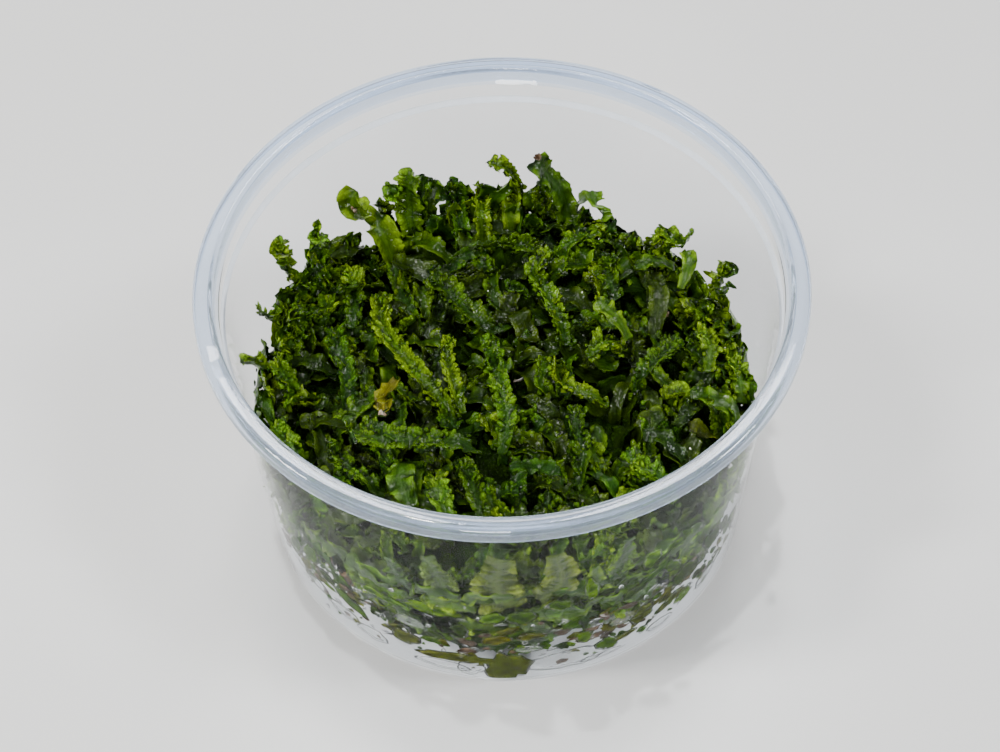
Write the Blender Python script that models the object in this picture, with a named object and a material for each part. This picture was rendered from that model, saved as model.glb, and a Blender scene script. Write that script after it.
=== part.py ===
"""Liverwort heaped in a clear plastic cup.

The cup is one turned piece of thin polypropylene. The liverwort in it is a loose heap of
separate thalli: flat forked ribbons with a thick midrib and a crisped edge. The packed
middle of the heap is one lumpy solid, and the thalli that show are laid over it one by
one, each resting on what is already there.

Metres, +Z up, the origin in the middle of the cup's foot, the photographed side at -Y.
Sizes below are in millimetres.
"""

import math
from collections import namedtuple

import bmesh
import bpy
import numpy as np
from mathutils import Vector
from mathutils.bvhtree import BVHTree

MM = 0.001
GAP = 0.3  # air left between neighbours that touch

# Cup
CUP_HEIGHT = 66.4
RIM_RADIUS = 59.0
RIM_SKIRT = 3.2  # height of the band round the rim
WALL = 0.55
FOOT_RADIUS = 47.7  # outer radius at the table
SEAT_RADIUS = 53.2  # inner radius of the line where the wall ends and the lid seat begins
SEAT_HEIGHT = 58.5
MOUTH_RADIUS = 55.2  # inner radius of the rim's bead
FOOT_RING_INNER = 39.0
FLOOR_RISE = 1.0  # the floor inside the foot ring is lifted by this
CUP_SEGMENTS = 64

# Heap
HEAP_RADIUS = 49.0  # where the heap's top meets the wall
HEAP_EDGE = 28.5  # height of the packed thalli there
HEAP_DOME = 5.5  # how much higher they stand in the middle
HEAP_SHOULDER = 3.5  # how much higher they stand along the far wall
HEAP_SHOULDER_FROM = 22.0  # the shoulder starts this far behind the middle
HEAP_SIDE_AIR = 0.8  # air between the heap's side and the wall
HEAP_SIDE_TOP = HEAP_EDGE - 2.5  # height where the side turns into the top
HEAP_FULL_FROM = 20.0  # above this height the heap fills the cup from wall to wall
HEAP_FOOT = 40.0  # radius near the floor
HEAP_SEGMENTS = 44
TOP_RINGS = (7, 14, 21, 28, 34.5, 41, 46.5)  # radii of the rings of points on its top
SIDE_RINGS = (HEAP_SIDE_TOP, 20.5, 15.5, 10.5, 6.0, 3.05)  # heights of those on its side

# Thalli
THALLUS_THICKNESS = 1.1
CRISP_HEIGHT = 0.75  # how far a crisped edge waves up and down
CRISP_SPREAD = 0.12  # how far it waves in and out, as a share of the half width
STATION = 1.9  # distance between the cross-sections of a thallus
LINE_STEP = 0.5  # distance between the points of the centre line that it is laid along
EASE_REACH = 3  # points each way over which it bridges a dip
WALL_AIR = 0.9  # air between its edge and the wall
SIDE_AIR = 0.6  # air between its edge and a thallus beside it
HIGHEST_TIP = 50.0  # the tips that stand up at the far wall end here
STANDS_FROM = 2.5  # what is seen this far beyond the wall stands up
STILL_BEYOND = 1.0  # and is raised until it is this far beyond
RISE_STEP = 0.25

# How the heap was read: every thallus is placed by where it is seen against a level
# plane at SEEN_LEVEL, along a line of sight that comes down at SEEN_ANGLE.
SEEN_LEVEL = 38.0
SEEN_ANGLE = math.radians(50.4)

# A thallus: its full width, its tone, how crisped it is from 0 to 1, and the points
# (x, y) that it is seen to run through.
Thallus = namedtuple("Thallus", "name width tone crisp points")

# A scrap stuck to the wet wall: its points are (degrees round the cup, height).
Scrap = namedtuple("Scrap", "name width tone points")

THALLI = [
    # the lowest ones: broad, smooth and dark
    Thallus("thallus_shaded_01", 7.0, "shaded", 0.2, [(-35, 31), (-31.5, 34), (-27.5, 33.5)]),
    Thallus("thallus_shaded_02", 5.0, "shaded", 0.1, [(-22, 29), (-18, 27), (-14, 25.5), (-8, 25)]),
    Thallus("thallus_shaded_03", 4.6, "mature", 0.3, [(-18, 34.5), (-14, 33.5), (-10, 31)]),
    Thallus("thallus_shaded_04", 4.5, "shaded", 0.1, [(-6, 36), (0, 38), (5, 37.5)]),
    Thallus("thallus_shaded_05", 4.5, "shaded", 0.2, [(-43, 5), (-38, 4), (-33, 2)]),
    Thallus("thallus_shaded_06", 5.0, "shaded", 0.0, [(-40.5, -11.5), (-35, -11), (-29.5, -11)]),
    Thallus("thallus_shaded_07", 6.0, "shaded", 0.2, [(32.5, 21), (36, 22.5), (39.5, 24.5)]),
    Thallus("thallus_shaded_08", 4.0, "aged", 0.3, [(30.5, 24), (31.5, 19), (31, 13), (30, 9)]),
    Thallus("thallus_shaded_09", 6.0, "shaded", 0.1, [(10, 19), (14, 18.5), (19, 15.5)]),
    Thallus("thallus_shaded_10", 5.0, "shaded", 0.2, [(27, -15), (31, -17.5), (35, -21)]),
    # the left side
    Thallus("thallus_left_01", 3.6, "mature", 1.0, [(-34, 11.5), (-32.5, 6), (-31, 0), (-31, -6)]),
    Thallus("thallus_left_02", 4.6, "mature", 0.6, [(-29.5, 27.5), (-29.5, 24), (-32, 19.5)]),
    Thallus("thallus_left_03", 4.6, "fresh", 0.5, [(-42, 20), (-44.5, 14.5), (-46, 9.5)]),
    Thallus("thallus_left_04", 3.4, "fresh", 1.0, [(-45, 4), (-43, 0), (-41.5, -4.5)]),
    Thallus("thallus_left_05", 3.0, "fresh", 0.3, [(-48.5, -3), (-47.5, -6), (-46, -9.5)]),
    Thallus("thallus_left_06", 4.2, "fresh", 1.0, [(-45, -12.5), (-42.5, -16), (-39.5, -19.5)]),
    Thallus("thallus_left_07", 3.6, "mature", 1.0,
        [(-34.5, -17.5), (-32, -21), (-28, -25), (-24, -28.5)]),
    Thallus("thallus_left_08", 3.6, "mature", 1.0, [(-37.5, 38), (-36.5, 34), (-36.5, 29), (-36, 25)]),
    Thallus("thallus_left_09", 3.2, "fresh", 1.0, [(-45.5, 35.5), (-43.5, 31), (-41.5, 27)]),
    # the back, where tips stand up against the wall
    Thallus("thallus_back_01", 5.6, "fresh", 0.3, [(-24, 37), (-27, 40.5), (-29.5, 43), (-29, 48.5)]),
    Thallus("thallus_back_02", 5.6, "fresh", 0.8, [(-18.5, 41), (-18.5, 46), (-17.5, 53.5)]),
    Thallus("thallus_back_03", 3.6, "mature", 0.9, [(-8, 38.5), (-8.5, 43), (-9.7, 51)]),
    Thallus("thallus_back_04", 3.8, "fresh", 0.2, [(2.2, 41), (2.4, 46), (2.2, 51)]),
    Thallus("thallus_back_05", 3.2, "fresh", 0.7, [(-3.8, 41), (-3.6, 45), (-3.3, 50)]),
    Thallus("thallus_back_06", 5.0, "mature", 0.3, [(13.5, 43), (12, 47.5), (9, 52), (7.8, 56.5)]),
    Thallus("thallus_back_07", 3.4, "fresh", 1.0, [(20, 33), (17, 35), (13.5, 32)]),
    Thallus("thallus_back_08", 3.6, "fresh", 0.3, [(22, 40), (19.5, 43), (19, 47)]),
    # the right side
    Thallus("thallus_right_01", 4.0, "mature", 0.9, [(22, 28.5), (21.5, 24.5), (23, 19.5)]),
    Thallus("thallus_right_02", 3.6, "mature", 0.4, [(27, 25.5), (29, 27), (32, 28), (35, 28)]),
    Thallus("thallus_right_03", 4.4, "aged", 0.7, [(31.5, 33.5), (35, 33.5), (38, 34.5)]),
    Thallus("thallus_right_04", 3.2, "fresh", 0.3, [(37, 30), (37.5, 26.5), (35.5, 22)]),
    Thallus("thallus_right_05", 4.4, "mature", 0.9, [(43, 19.5), (44, 23), (45.5, 26.5)]),
    Thallus("thallus_right_06", 4.8, "fresh", 0.4, [(42.5, 14.5), (44.5, 11.5), (46.5, 7.5)]),
    Thallus("thallus_right_07", 4.8, "fresh", 0.6, [(45, 1), (47, -3), (47, -7.5)]),
    Thallus("thallus_right_08", 3.6, "fresh", 0.6, [(40, 9), (41, 5), (40.5, 0.5)]),
    Thallus("thallus_right_09", 3.8, "mature", 0.0, [(36.5, -6), (40.5, -8), (44, -10.5), (45.5, -14)]),
    # the front, behind the near rim
    Thallus("thallus_front_01", 6.0, "mature", 0.1, [(-20, -21.5), (-20.5, -26), (-18, -31.5)]),
    Thallus("thallus_front_02", 3.6, "mature", 0.9, [(-9, -22), (-7.5, -25), (-6, -30), (-5, -35)]),
    Thallus("thallus_front_03", 4.6, "fresh", 0.6, [(-14, -26), (-13, -30), (-11, -34.5)]),
    Thallus("thallus_front_04", 3.4, "mature", 1.0, [(13.5, -10), (14, -15), (15, -21), (14, -27)]),
    Thallus("thallus_front_05", 4.5, "fresh", 0.9, [(24.5, -24), (28, -25.5), (31.5, -25.5)]),
    # the topmost ones, in the middle
    Thallus("thallus_top_01", 3.4, "mature", 1.0, [(-5, 34.5), (-1, 32.5), (3, 32.7), (7, 32)]),
    Thallus("thallus_top_02", 3.6, "fresh", 1.0,
        [(10, 30.5), (6.5, 26), (9, 20.5), (11, 14), (12.5, 8)]),
    Thallus("thallus_top_03", 5.0, "mature", 0.9,
        [(-14, 24.5), (-11, 21), (-8, 17), (-5, 14), (-1.5, 11.5)]),
    Thallus("thallus_top_04", 3.8, "fresh", 1.0,
        [(-24.5, 19.5), (-24, 13), (-22, 8), (-18.5, 3), (-14, -4), (-10, -10)]),
    Thallus("thallus_top_05", 2.4, "fresh", 1.0, [(-11, 8.5), (-11, 4), (-10, -2), (-8, -8)]),
    Thallus("thallus_top_06", 4.0, "fresh", 1.0,
        [(-3, 7), (-2, 3), (-0.5, -4), (0.5, -13), (-1, -18.5)]),
    Thallus("thallus_top_07", 3.2, "fresh", 1.0, [(10.5, 2.5), (11, -2.5), (15, -5.5), (20.5, -7)]),
    Thallus("thallus_top_08", 5.0, "fresh", 1.0, [(16.5, 5.5), (20, 6.5), (24, 5)]),
    Thallus("thallus_top_09", 3.8, "mature", 1.0, [(34.5, 5.5), (31, 3), (28, 0), (25.5, -3.5)]),
    Thallus("thallus_top_10", 3.6, "fresh", 0.3, [(19, 18), (21, 15), (23, 12.5), (25, 9.5)]),
    Thallus("thallus_top_11", 5.6, "mature", 0.7,
        [(-27.5, -14), (-23, -15.5), (-17, -16), (-10, -16.5), (-5.5, -17)]),
    Thallus("thallus_top_12", 3.4, "aged", 0.2, [(-21, -1), (-23.5, -5), (-24, -9.5)]),
    Thallus("thallus_top_13", 3.8, "mature", 0.3,
        [(0.5, -23.2), (3, -23), (6.5, -23.7), (10.5, -22.5)]),
]


SCRAPS = [
    Scrap("scrap_front", 4.6, "aged", [(-98, 4.4), (-92, 5.0), (-85, 4.6)]),
    Scrap("scrap_right", 3.2, "aged", [(-57, 7.0), (-50, 9.0), (-42, 13.0)]),
    Scrap("scrap_left", 3.0, "mature", [(-140, 12.0), (-132, 9.0), (-125, 7.0)]),
]

TONES = {
    "fresh": (0.23, 0.42, 0.03),
    "mature": (0.08, 0.27, 0.03),
    "shaded": (0.06, 0.14, 0.02),
    "aged": (0.26, 0.22, 0.05),
    "packed": (0.05, 0.10, 0.02),
}


def wall_radius(z):
    """Inner radius of the cup's tapered wall at a height."""
    foot = FOOT_RADIUS - WALL
    return foot + (SEAT_RADIUS - foot) * z / SEAT_HEIGHT


def plain_material(name, colour, roughness, transmission=0.0):
    """A Principled material of one colour."""
    material = bpy.data.materials.new(name)
    material.use_nodes = True
    shader = material.node_tree.nodes["Principled BSDF"]
    shader.inputs["Base Color"].default_value = (*colour, 1.0)
    shader.inputs["Roughness"].default_value = roughness
    shader.inputs["Metallic"].default_value = 0.0
    shader.inputs["Transmission Weight"].default_value = transmission
    return material


def new_object(name, mesh, material):
    """Links a mesh to the scene as a named object with one material."""
    mesh.materials.append(material)
    made = bpy.data.objects.new(name, mesh)
    bpy.context.scene.collection.objects.link(made)
    return made


def arc(centre_r, centre_z, radius, start, end, steps):
    """Points of an arc in the profile plane, angles in degrees from the outward direction."""
    angles = [math.radians(start + (end - start) * i / steps) for i in range(steps + 1)]
    return [(centre_r + radius * math.cos(a), centre_z + radius * math.sin(a)) for a in angles]


def cup_profile():
    """The cup's half section as (radius, height), from the axis under the floor, up the
    outside, over the rim and down the inside to the axis again."""
    corner = 1.6  # rounding of the foot
    bead = 1.1  # rounding of the rim's top
    seat_out = SEAT_RADIUS + 1.2  # the lid seat is this much wider than the wall
    skirt_foot = CUP_HEIGHT - RIM_SKIRT
    band = RIM_RADIUS - 0.7  # inner face of the skirt
    outside = [
        (0.0, FLOOR_RISE),
        (FOOT_RING_INNER - 1.0, FLOOR_RISE),
        (FOOT_RING_INNER, 0.0),
        *arc(FOOT_RADIUS - corner + 0.15, corner, corner, -90, -6, 4),
        (SEAT_RADIUS + WALL - 0.1, SEAT_HEIGHT - 1.0),
        (seat_out + WALL - 0.2, SEAT_HEIGHT + 0.6),
        (MOUTH_RADIUS + WALL, skirt_foot - 0.3),
        (MOUTH_RADIUS + WALL + 0.3, CUP_HEIGHT - 1.3),
        (band - 0.6, CUP_HEIGHT - 1.0),
        (band, CUP_HEIGHT - 1.6),
        (band, skirt_foot),
        (RIM_RADIUS, skirt_foot),
    ]
    rim = [
        *arc(RIM_RADIUS - bead, CUP_HEIGHT - bead, bead, 0, 90, 4),
        *arc(MOUTH_RADIUS + 0.7, CUP_HEIGHT - 0.7, 0.7, 90, 180, 2),
    ]
    inside = [
        (MOUTH_RADIUS - 0.2, skirt_foot + 0.1),
        (seat_out + 0.1, skirt_foot - 0.8),
        (seat_out - 0.1, SEAT_HEIGHT + 1.0),
        (SEAT_RADIUS + 0.5, SEAT_HEIGHT + 0.2),
        (SEAT_RADIUS, SEAT_HEIGHT - 0.1),
        *arc(FOOT_RADIUS - corner, corner + 0.1, corner - WALL, -6, -80, 3),
        (FOOT_RING_INNER + 0.4, WALL),
        (FOOT_RING_INNER - 0.6, FLOOR_RISE + WALL),
        (0.0, FLOOR_RISE + WALL),
    ]
    return outside + rim + inside


def turned_mesh(name, profile, segments):
    """Spins a half section round Z into one closed mesh."""
    shape = bmesh.new()
    verts = [shape.verts.new((r * MM, 0.0, z * MM)) for r, z in profile]
    edges = [shape.edges.new(pair) for pair in zip(verts, verts[1:])]
    bmesh.ops.spin(
        shape, geom=verts + edges, axis=(0, 0, 1), cent=(0, 0, 0),
        angle=2 * math.pi, steps=segments, use_merge=True,
    )
    bmesh.ops.remove_doubles(shape, verts=shape.verts, dist=1e-6)
    bmesh.ops.recalc_face_normals(shape, faces=shape.faces)
    mesh = bpy.data.meshes.new(name)
    shape.to_mesh(mesh)
    shape.free()
    return mesh


def make_cup():
    """The clear cup: floor, tapered wall, lid seat and rolled rim in one piece."""
    plastic = plain_material("cup_plastic", (0.86, 0.90, 0.94), 0.12, transmission=0.9)
    cup = new_object("cup", turned_mesh("cup", cup_profile(), CUP_SEGMENTS), plastic)
    cup.data.shade_smooth()
    cup.data.set_sharp_from_angle(angle=math.radians(35))
    return cup


def heap_height(x, y):
    """Top of the packed middle of the heap, as lumps on a low dome."""
    r = math.hypot(x, y)
    dome = HEAP_EDGE + HEAP_DOME * (1 - (r / HEAP_RADIUS) ** 2)
    behind = max(0.0, (y - HEAP_SHOULDER_FROM) / (HEAP_RADIUS - HEAP_SHOULDER_FROM))
    shoulder = HEAP_SHOULDER * behind
    lumps = 1.0 * math.sin(0.31 * x + 1.0) * math.cos(0.27 * y - 0.4)
    ridges = 0.7 * math.sin(0.52 * (x + y)) * math.cos(0.43 * (x - 0.6 * y))
    return dome + shoulder + lumps + ridges


def heap_side(angle, z):
    """Radius of the heap's side: it stands narrower near the floor and swells to the wall."""
    narrow_to = 2.0
    widest = wall_radius(z) - HEAP_SIDE_AIR
    swell = min(1.0, max(0.0, (z - narrow_to) / (HEAP_FULL_FROM - narrow_to)))
    radius = HEAP_FOOT + (wall_radius(z) - HEAP_FOOT) * math.sin(swell * math.pi / 2)
    lumps = 0.9 * math.sin(5 * angle + 0.35 * z) + 0.7 * math.sin(11 * angle - 0.5 * z)
    return min(radius + lumps, widest)


def heap_rings():
    """Rings of points from the middle of the heap's top, over its edge, to under its foot."""
    floor = FLOOR_RISE + WALL + GAP
    angles = [2 * math.pi * i / HEAP_SEGMENTS for i in range(HEAP_SEGMENTS)]
    rings = []
    for radius in TOP_RINGS:
        across = [(radius * math.cos(a), radius * math.sin(a)) for a in angles]
        rings.append([(x, y, heap_height(x, y)) for x, y in across])
    for level in SIDE_RINGS:
        radii = [heap_side(a, level) for a in angles]
        rings.append([(r * math.cos(a), r * math.sin(a), level) for a, r in zip(angles, radii)])
    under = HEAP_FOOT * 0.75
    rings.append([(under * math.cos(a), under * math.sin(a), floor) for a in angles])
    return rings, (0.0, 0.0, heap_height(0, 0)), (0.0, 0.0, floor)


def make_heap():
    """The packed middle of the heap: thalli matted together, as one lumpy solid."""
    rings, top, bottom = heap_rings()
    shape = bmesh.new()
    loops = [[shape.verts.new(Vector(p) * MM) for p in ring] for ring in rings]
    crown, sole = shape.verts.new(Vector(top) * MM), shape.verts.new(Vector(bottom) * MM)
    for i in range(HEAP_SEGMENTS):
        j = (i + 1) % HEAP_SEGMENTS
        shape.faces.new((crown, loops[0][i], loops[0][j]))
        for upper, lower in zip(loops, loops[1:]):
            shape.faces.new((upper[i], lower[i], lower[j], upper[j]))
        shape.faces.new((sole, loops[-1][j], loops[-1][i]))
    bmesh.ops.triangulate(shape, faces=shape.faces)
    bmesh.ops.recalc_face_normals(shape, faces=shape.faces)
    mesh = bpy.data.meshes.new("packed_thalli")
    shape.to_mesh(mesh)
    shape.free()
    return new_object("packed_thalli", mesh, plain_material("packed", TONES["packed"], 0.5))


class Room:
    """The space in the cup as a grid of small cells, each taken or free."""

    CELL = 0.5
    REACH = 56.0
    TOP = 75.0

    def __init__(self, heap):
        """Takes what is under the heap's top, and at the wall, beside the heap, what is
        under the top of its side."""
        count = int(2 * self.REACH / self.CELL) + 1
        self.taken = np.zeros((count, count, int(self.TOP / self.CELL)), bool)
        shape = bmesh.new()
        shape.from_mesh(heap.data)
        tree = BVHTree.FromBMesh(shape)
        shape.free()
        for i in range(count):
            for j in range(count):
                x, y = i * self.CELL - self.REACH, j * self.CELL - self.REACH
                hit = tree.ray_cast(Vector((x, y, 100)) * MM, Vector((0, 0, -1)))[0]
                top = HEAP_SIDE_TOP if hit is None else hit.z / MM
                self.taken[i, j, :math.ceil(top / self.CELL)] = True

    def cells(self, x, y, radius):
        """Index arrays of the cells within radius of a point, seen from above."""
        reach = int(radius / self.CELL) + 1
        i, j = round((x + self.REACH) / self.CELL), round((y + self.REACH) / self.CELL)
        di, dj = np.mgrid[-reach:reach + 1, -reach:reach + 1]
        near = (di**2 + dj**2) * self.CELL**2 <= radius**2
        last = self.taken.shape[0] - 1
        return np.clip(i + di[near], 0, last), np.clip(j + dj[near], 0, last)

    def lowest_free(self, x, y, radius, body, z):
        """The lowest height from z up at which a disc of this radius, reaching body above
        and below its middle, is clear of what is taken."""
        column = self.taken[self.cells(x, y, radius)].any(axis=0)
        bottom = max(0, math.floor((z - body) / self.CELL))
        while True:
            top = bottom + math.ceil(2 * body / self.CELL) + 1
            blocked = np.flatnonzero(column[bottom:top])
            if not len(blocked):
                return max(z, bottom * self.CELL + body)
            bottom += blocked[-1] + 1

    def take(self, x, y, radius, low, high):
        """Takes the cells within radius of a point between two heights."""
        rows, columns = self.cells(x, y, radius)
        self.taken[rows, columns, math.floor(low / self.CELL):math.ceil(high / self.CELL)] = True


def smooth_path(points, spacing):
    """Evenly spaced points on a smooth curve through the given ones."""
    given = np.array(points, float)
    padded = np.vstack([2 * given[0] - given[1], given, 2 * given[-1] - given[-2]])
    t = np.linspace(0, 1, 24, endpoint=False)[:, None]
    pieces = []
    for a, b, c, d in zip(padded, padded[1:], padded[2:], padded[3:]):
        slope, bend, turn = c - a, 2 * a - 5 * b + 4 * c - d, 3 * b - a - 3 * c + d
        pieces.append(b + 0.5 * (slope * t + bend * t**2 + turn * t**3))
    return stations(np.vstack([*pieces, given[-1:]]), spacing, 3)


def stations(line, spacing, fewest):
    """Evenly spaced points on a line of points, its ends among them."""
    run = np.concatenate([[0], np.cumsum(np.linalg.norm(np.diff(line, axis=0), axis=1))])
    at = np.linspace(0, run[-1], max(fewest, round(run[-1] / spacing) + 1))
    return np.stack([np.interp(at, run, column) for column in line.T], axis=1)


def eased_over(heights, reach):
    """Smooths heights along a thallus without ever going below them, as a stiff ribbon
    bridges a dip."""
    wide = np.pad(heights, 2 * reach, mode="edge")
    count = len(heights)
    highest = np.array([wide[i:i + 2 * reach + 1].max() for i in range(count + 2 * reach)])
    return np.array([highest[i:i + 2 * reach + 1].mean() for i in range(count)])


def seen_at(x, y, z):
    """Where a point seen at (x, y) on the level plane is, if it is at height z."""
    return x, y - (z - SEEN_LEVEL) / math.tan(SEEN_ANGLE)


def beyond_wall(x, y, z, keep_off):
    """How far a point seen at (x, y) is outside the room that the wall leaves, at height z."""
    return math.hypot(*seen_at(x, y, z)) - (wall_radius(z) - keep_off)


def inside_wall(x, y, z, keep_off):
    """A point seen well beyond the far wall stands up along it, so it is raised until it
    is nearly inside. The last bit beyond the wall is taken up by moving in."""
    if beyond_wall(x, y, z, keep_off) > STANDS_FROM:
        while beyond_wall(x, y, z, keep_off) > STILL_BEYOND and z < HIGHEST_TIP:
            z += RISE_STEP
    px, py = seen_at(x, y, z)
    inward = min(1.0, (wall_radius(z) - keep_off) / max(math.hypot(px, py), 1.0))
    return px * inward, py * inward, z


def lay(thallus, room):
    """Lays a thallus in the room that is left and gives its centre line as (x, y, z)
    points. The height and the place depend on each other along the line of sight, so both
    are worked out in rounds. The room then holds the thallus too."""
    seen = smooth_path(thallus.points, LINE_STEP)
    body = THALLUS_THICKNESS / 2 + CRISP_HEIGHT * thallus.crisp
    spread = thallus.width / 2 * (1 + CRISP_SPREAD)
    keep_off = spread + WALL_AIR
    needed = np.full(len(seen), HEAP_EDGE)
    for _ in range(4):
        on_heap = [heap_height(*seen_at(a, b, c)) for (a, b), c in zip(seen, needed)]
        needed = np.array(on_heap) + body
    for _ in range(10):
        eased = eased_over(needed, EASE_REACH)
        line = np.array([inside_wall(a, b, c, keep_off) for (a, b), c in zip(seen, eased)])
        free = [room.lowest_free(a, b, spread + SIDE_AIR, body + GAP, c) for a, b, c in line]
        needed = np.where(np.array(free) > eased + 0.01, free, needed)
    line[:, 2] = np.maximum(eased_over(needed, EASE_REACH), line[:, 2])
    steps = np.abs(np.gradient(line[:, 2]))
    for (a, b, c), step in zip(line, steps):
        room.take(a, b, spread + GAP, c - body - step, c + body + step)
    return line


def ribbon_outline(share):
    """Half width of a thallus along its length, as a share of its widest: blunt ends."""
    end = min(share, 1 - share)
    return min(1.0, 0.45 + 2.6 * end)


def ribbon_mesh(name, centres, sides, ups, half, wave):
    """A closed ribbon: a flat four-cornered section at each centre, its two edges waving
    up and down in turn and in and out as a crisped edge does."""
    shape = bmesh.new()
    rings = []
    last = len(centres) - 1
    for i, (centre, side, up) in enumerate(zip(centres, sides, ups)):
        beat = 1 if i % 2 else -1
        reach = half * ribbon_outline(i / last)
        swing = CRISP_SPREAD * beat if wave else 0.0
        left = centre - side * reach * (1 + swing) + up * wave * beat
        right = centre + side * reach * (1 - swing) - up * wave * beat
        ridge = up * THALLUS_THICKNESS / 2
        corners = (left, centre + ridge, right, centre - ridge)
        rings.append([shape.verts.new(corner * MM) for corner in corners])
    for near, far in zip(rings, rings[1:]):
        for k in range(4):
            m = (k + 1) % 4
            shape.faces.new((near[k], near[m], far[m], far[k]))
    shape.faces.new(reversed(rings[0]))
    shape.faces.new(rings[-1])
    bmesh.ops.triangulate(shape, faces=shape.faces)
    bmesh.ops.recalc_face_normals(shape, faces=shape.faces)
    mesh = bpy.data.meshes.new(name)
    shape.to_mesh(mesh)
    shape.free()
    return mesh


def level_frame(points):
    """Side and up directions of a ribbon that lies level across its width."""
    along = [Vector(d).normalized() for d in np.gradient(points, axis=0)]
    sides = [Vector((a.y, -a.x, 0)).normalized() for a in along]
    return sides, [side.cross(a) for side, a in zip(sides, along)]


def make_thallus(thallus, room, materials):
    """One thallus, laid on the heap."""
    points = stations(lay(thallus, room), STATION, 4)
    sides, ups = level_frame(points)
    centres = [Vector(p) for p in points]
    wave = CRISP_HEIGHT * thallus.crisp
    mesh = ribbon_mesh(thallus.name, centres, sides, ups, thallus.width / 2, wave)
    return new_object(thallus.name, mesh, materials[thallus.tone])


def make_scrap(scrap, materials):
    """A scrap of thallus held flat to the wall by a film of water."""
    path = smooth_path([(math.radians(a) * FOOT_RADIUS, z) for a, z in scrap.points], STATION)
    lean = math.atan2(SEAT_RADIUS - FOOT_RADIUS + WALL, SEAT_HEIGHT)
    centres, sides, ups = [], [], []
    for arc_run, z in path:
        angle = arc_run / FOOT_RADIUS
        outward = Vector((math.cos(angle), math.sin(angle), 0))
        radius = wall_radius(z) - THALLUS_THICKNESS / 2 - 2 * GAP
        centres.append(outward * radius + Vector((0, 0, z)))
        sides.append((outward * math.sin(lean) + Vector((0, 0, math.cos(lean)))).normalized())
        ups.append((outward * math.cos(lean) - Vector((0, 0, math.sin(lean)))).normalized())
    mesh = ribbon_mesh(scrap.name, centres, sides, ups, scrap.width / 2, 0.0)
    return new_object(scrap.name, mesh, materials[scrap.tone])


def main():
    """Clears the scene and builds the cup, the packed heap and the thalli over it."""
    for old in list(bpy.data.objects):
        bpy.data.objects.remove(old)
    materials = {
        tone: plain_material(f"thallus_{tone}", colour, 0.35)
        for tone, colour in TONES.items()
    }
    make_cup()
    room = Room(make_heap())
    for thallus in THALLI:
        make_thallus(thallus, room, materials)
    for scrap in SCRAPS:
        make_scrap(scrap, materials)


main()
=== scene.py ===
# Liverwort in a clear plastic cup: wet, crisped ribbons heaped in a thin tub with a rolled rim.
# Lengths are in millimetres until a mesh is made. The photographed side is -Y.
import math

import bpy
import numpy as np
from mathutils import Matrix, Vector
from mathutils.bvhtree import BVHTree


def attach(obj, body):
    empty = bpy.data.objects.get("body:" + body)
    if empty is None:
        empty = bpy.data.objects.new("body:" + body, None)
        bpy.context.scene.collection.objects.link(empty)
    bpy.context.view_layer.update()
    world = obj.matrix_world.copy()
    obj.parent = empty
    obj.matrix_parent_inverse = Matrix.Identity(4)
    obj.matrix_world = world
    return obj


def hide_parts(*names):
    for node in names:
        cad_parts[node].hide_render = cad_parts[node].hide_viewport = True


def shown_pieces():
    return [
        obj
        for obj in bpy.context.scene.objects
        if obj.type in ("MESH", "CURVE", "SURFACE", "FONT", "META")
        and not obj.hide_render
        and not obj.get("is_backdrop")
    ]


mm = 0.001
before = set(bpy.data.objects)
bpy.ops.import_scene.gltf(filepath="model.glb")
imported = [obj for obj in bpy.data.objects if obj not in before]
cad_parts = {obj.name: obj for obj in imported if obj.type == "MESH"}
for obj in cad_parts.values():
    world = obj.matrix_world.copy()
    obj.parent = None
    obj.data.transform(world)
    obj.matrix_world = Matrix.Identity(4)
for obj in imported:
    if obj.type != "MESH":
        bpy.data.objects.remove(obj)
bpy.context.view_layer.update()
print("frame loaded:", len(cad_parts), "solids")


# Small tools: smooth random lines, noise, meshes and shader nodes.

def smoothStep(low, high, value):
    t = np.clip((value - low) / (high - low), 0, 1)
    return t * t * (3 - 2 * t)


def easedCells(values, cell):  # the cell that each value lies in, and its eased place there
    at = np.asarray(values) / cell
    knot = np.floor(at).astype(int)
    part = at - knot
    return knot, part * part * (3 - 2 * part)


def wander(run, spacing, rng):  # smooth random values between -1 and 1 along a run of lengths
    knots = rng.uniform(-1, 1, int(run[-1] / spacing) + 3)
    knot, part = easedCells(run, spacing)
    return knots[knot] * (1 - part) + knots[knot + 1] * part


def patches(run, across, runCell, acrossCell, rng):  # smooth random values over a ribbon, between -1 and 1
    grid = rng.uniform(-1, 1, (int(run[-1] / runCell) + 3, int(2 / acrossCell) + 3))
    (i, s), (j, t) = easedCells(run, runCell), easedCells(across + 1, acrossCell)
    i, s, j, t = i[:, None], s[:, None], j[None], t[None]
    low = grid[i, j] * (1 - t) + grid[i, j + 1] * t
    high = grid[i + 1, j] * (1 - t) + grid[i + 1, j + 1] * t
    return low * (1 - s) + high * s


def unit(vectors):
    length = np.linalg.norm(vectors, axis=-1, keepdims=True)
    return vectors / np.maximum(length, 1e-9)


def evenly(line, spacing, fewest=4):  # the same line with its points spaced evenly
    line = np.asarray(line, float)
    run = np.concatenate([[0], np.cumsum(np.linalg.norm(np.diff(line, axis=0), axis=1))])
    at = np.linspace(0, run[-1], max(fewest, round(run[-1] / spacing) + 1))
    return np.stack([np.interp(at, run, column) for column in line.T], axis=1)


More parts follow.
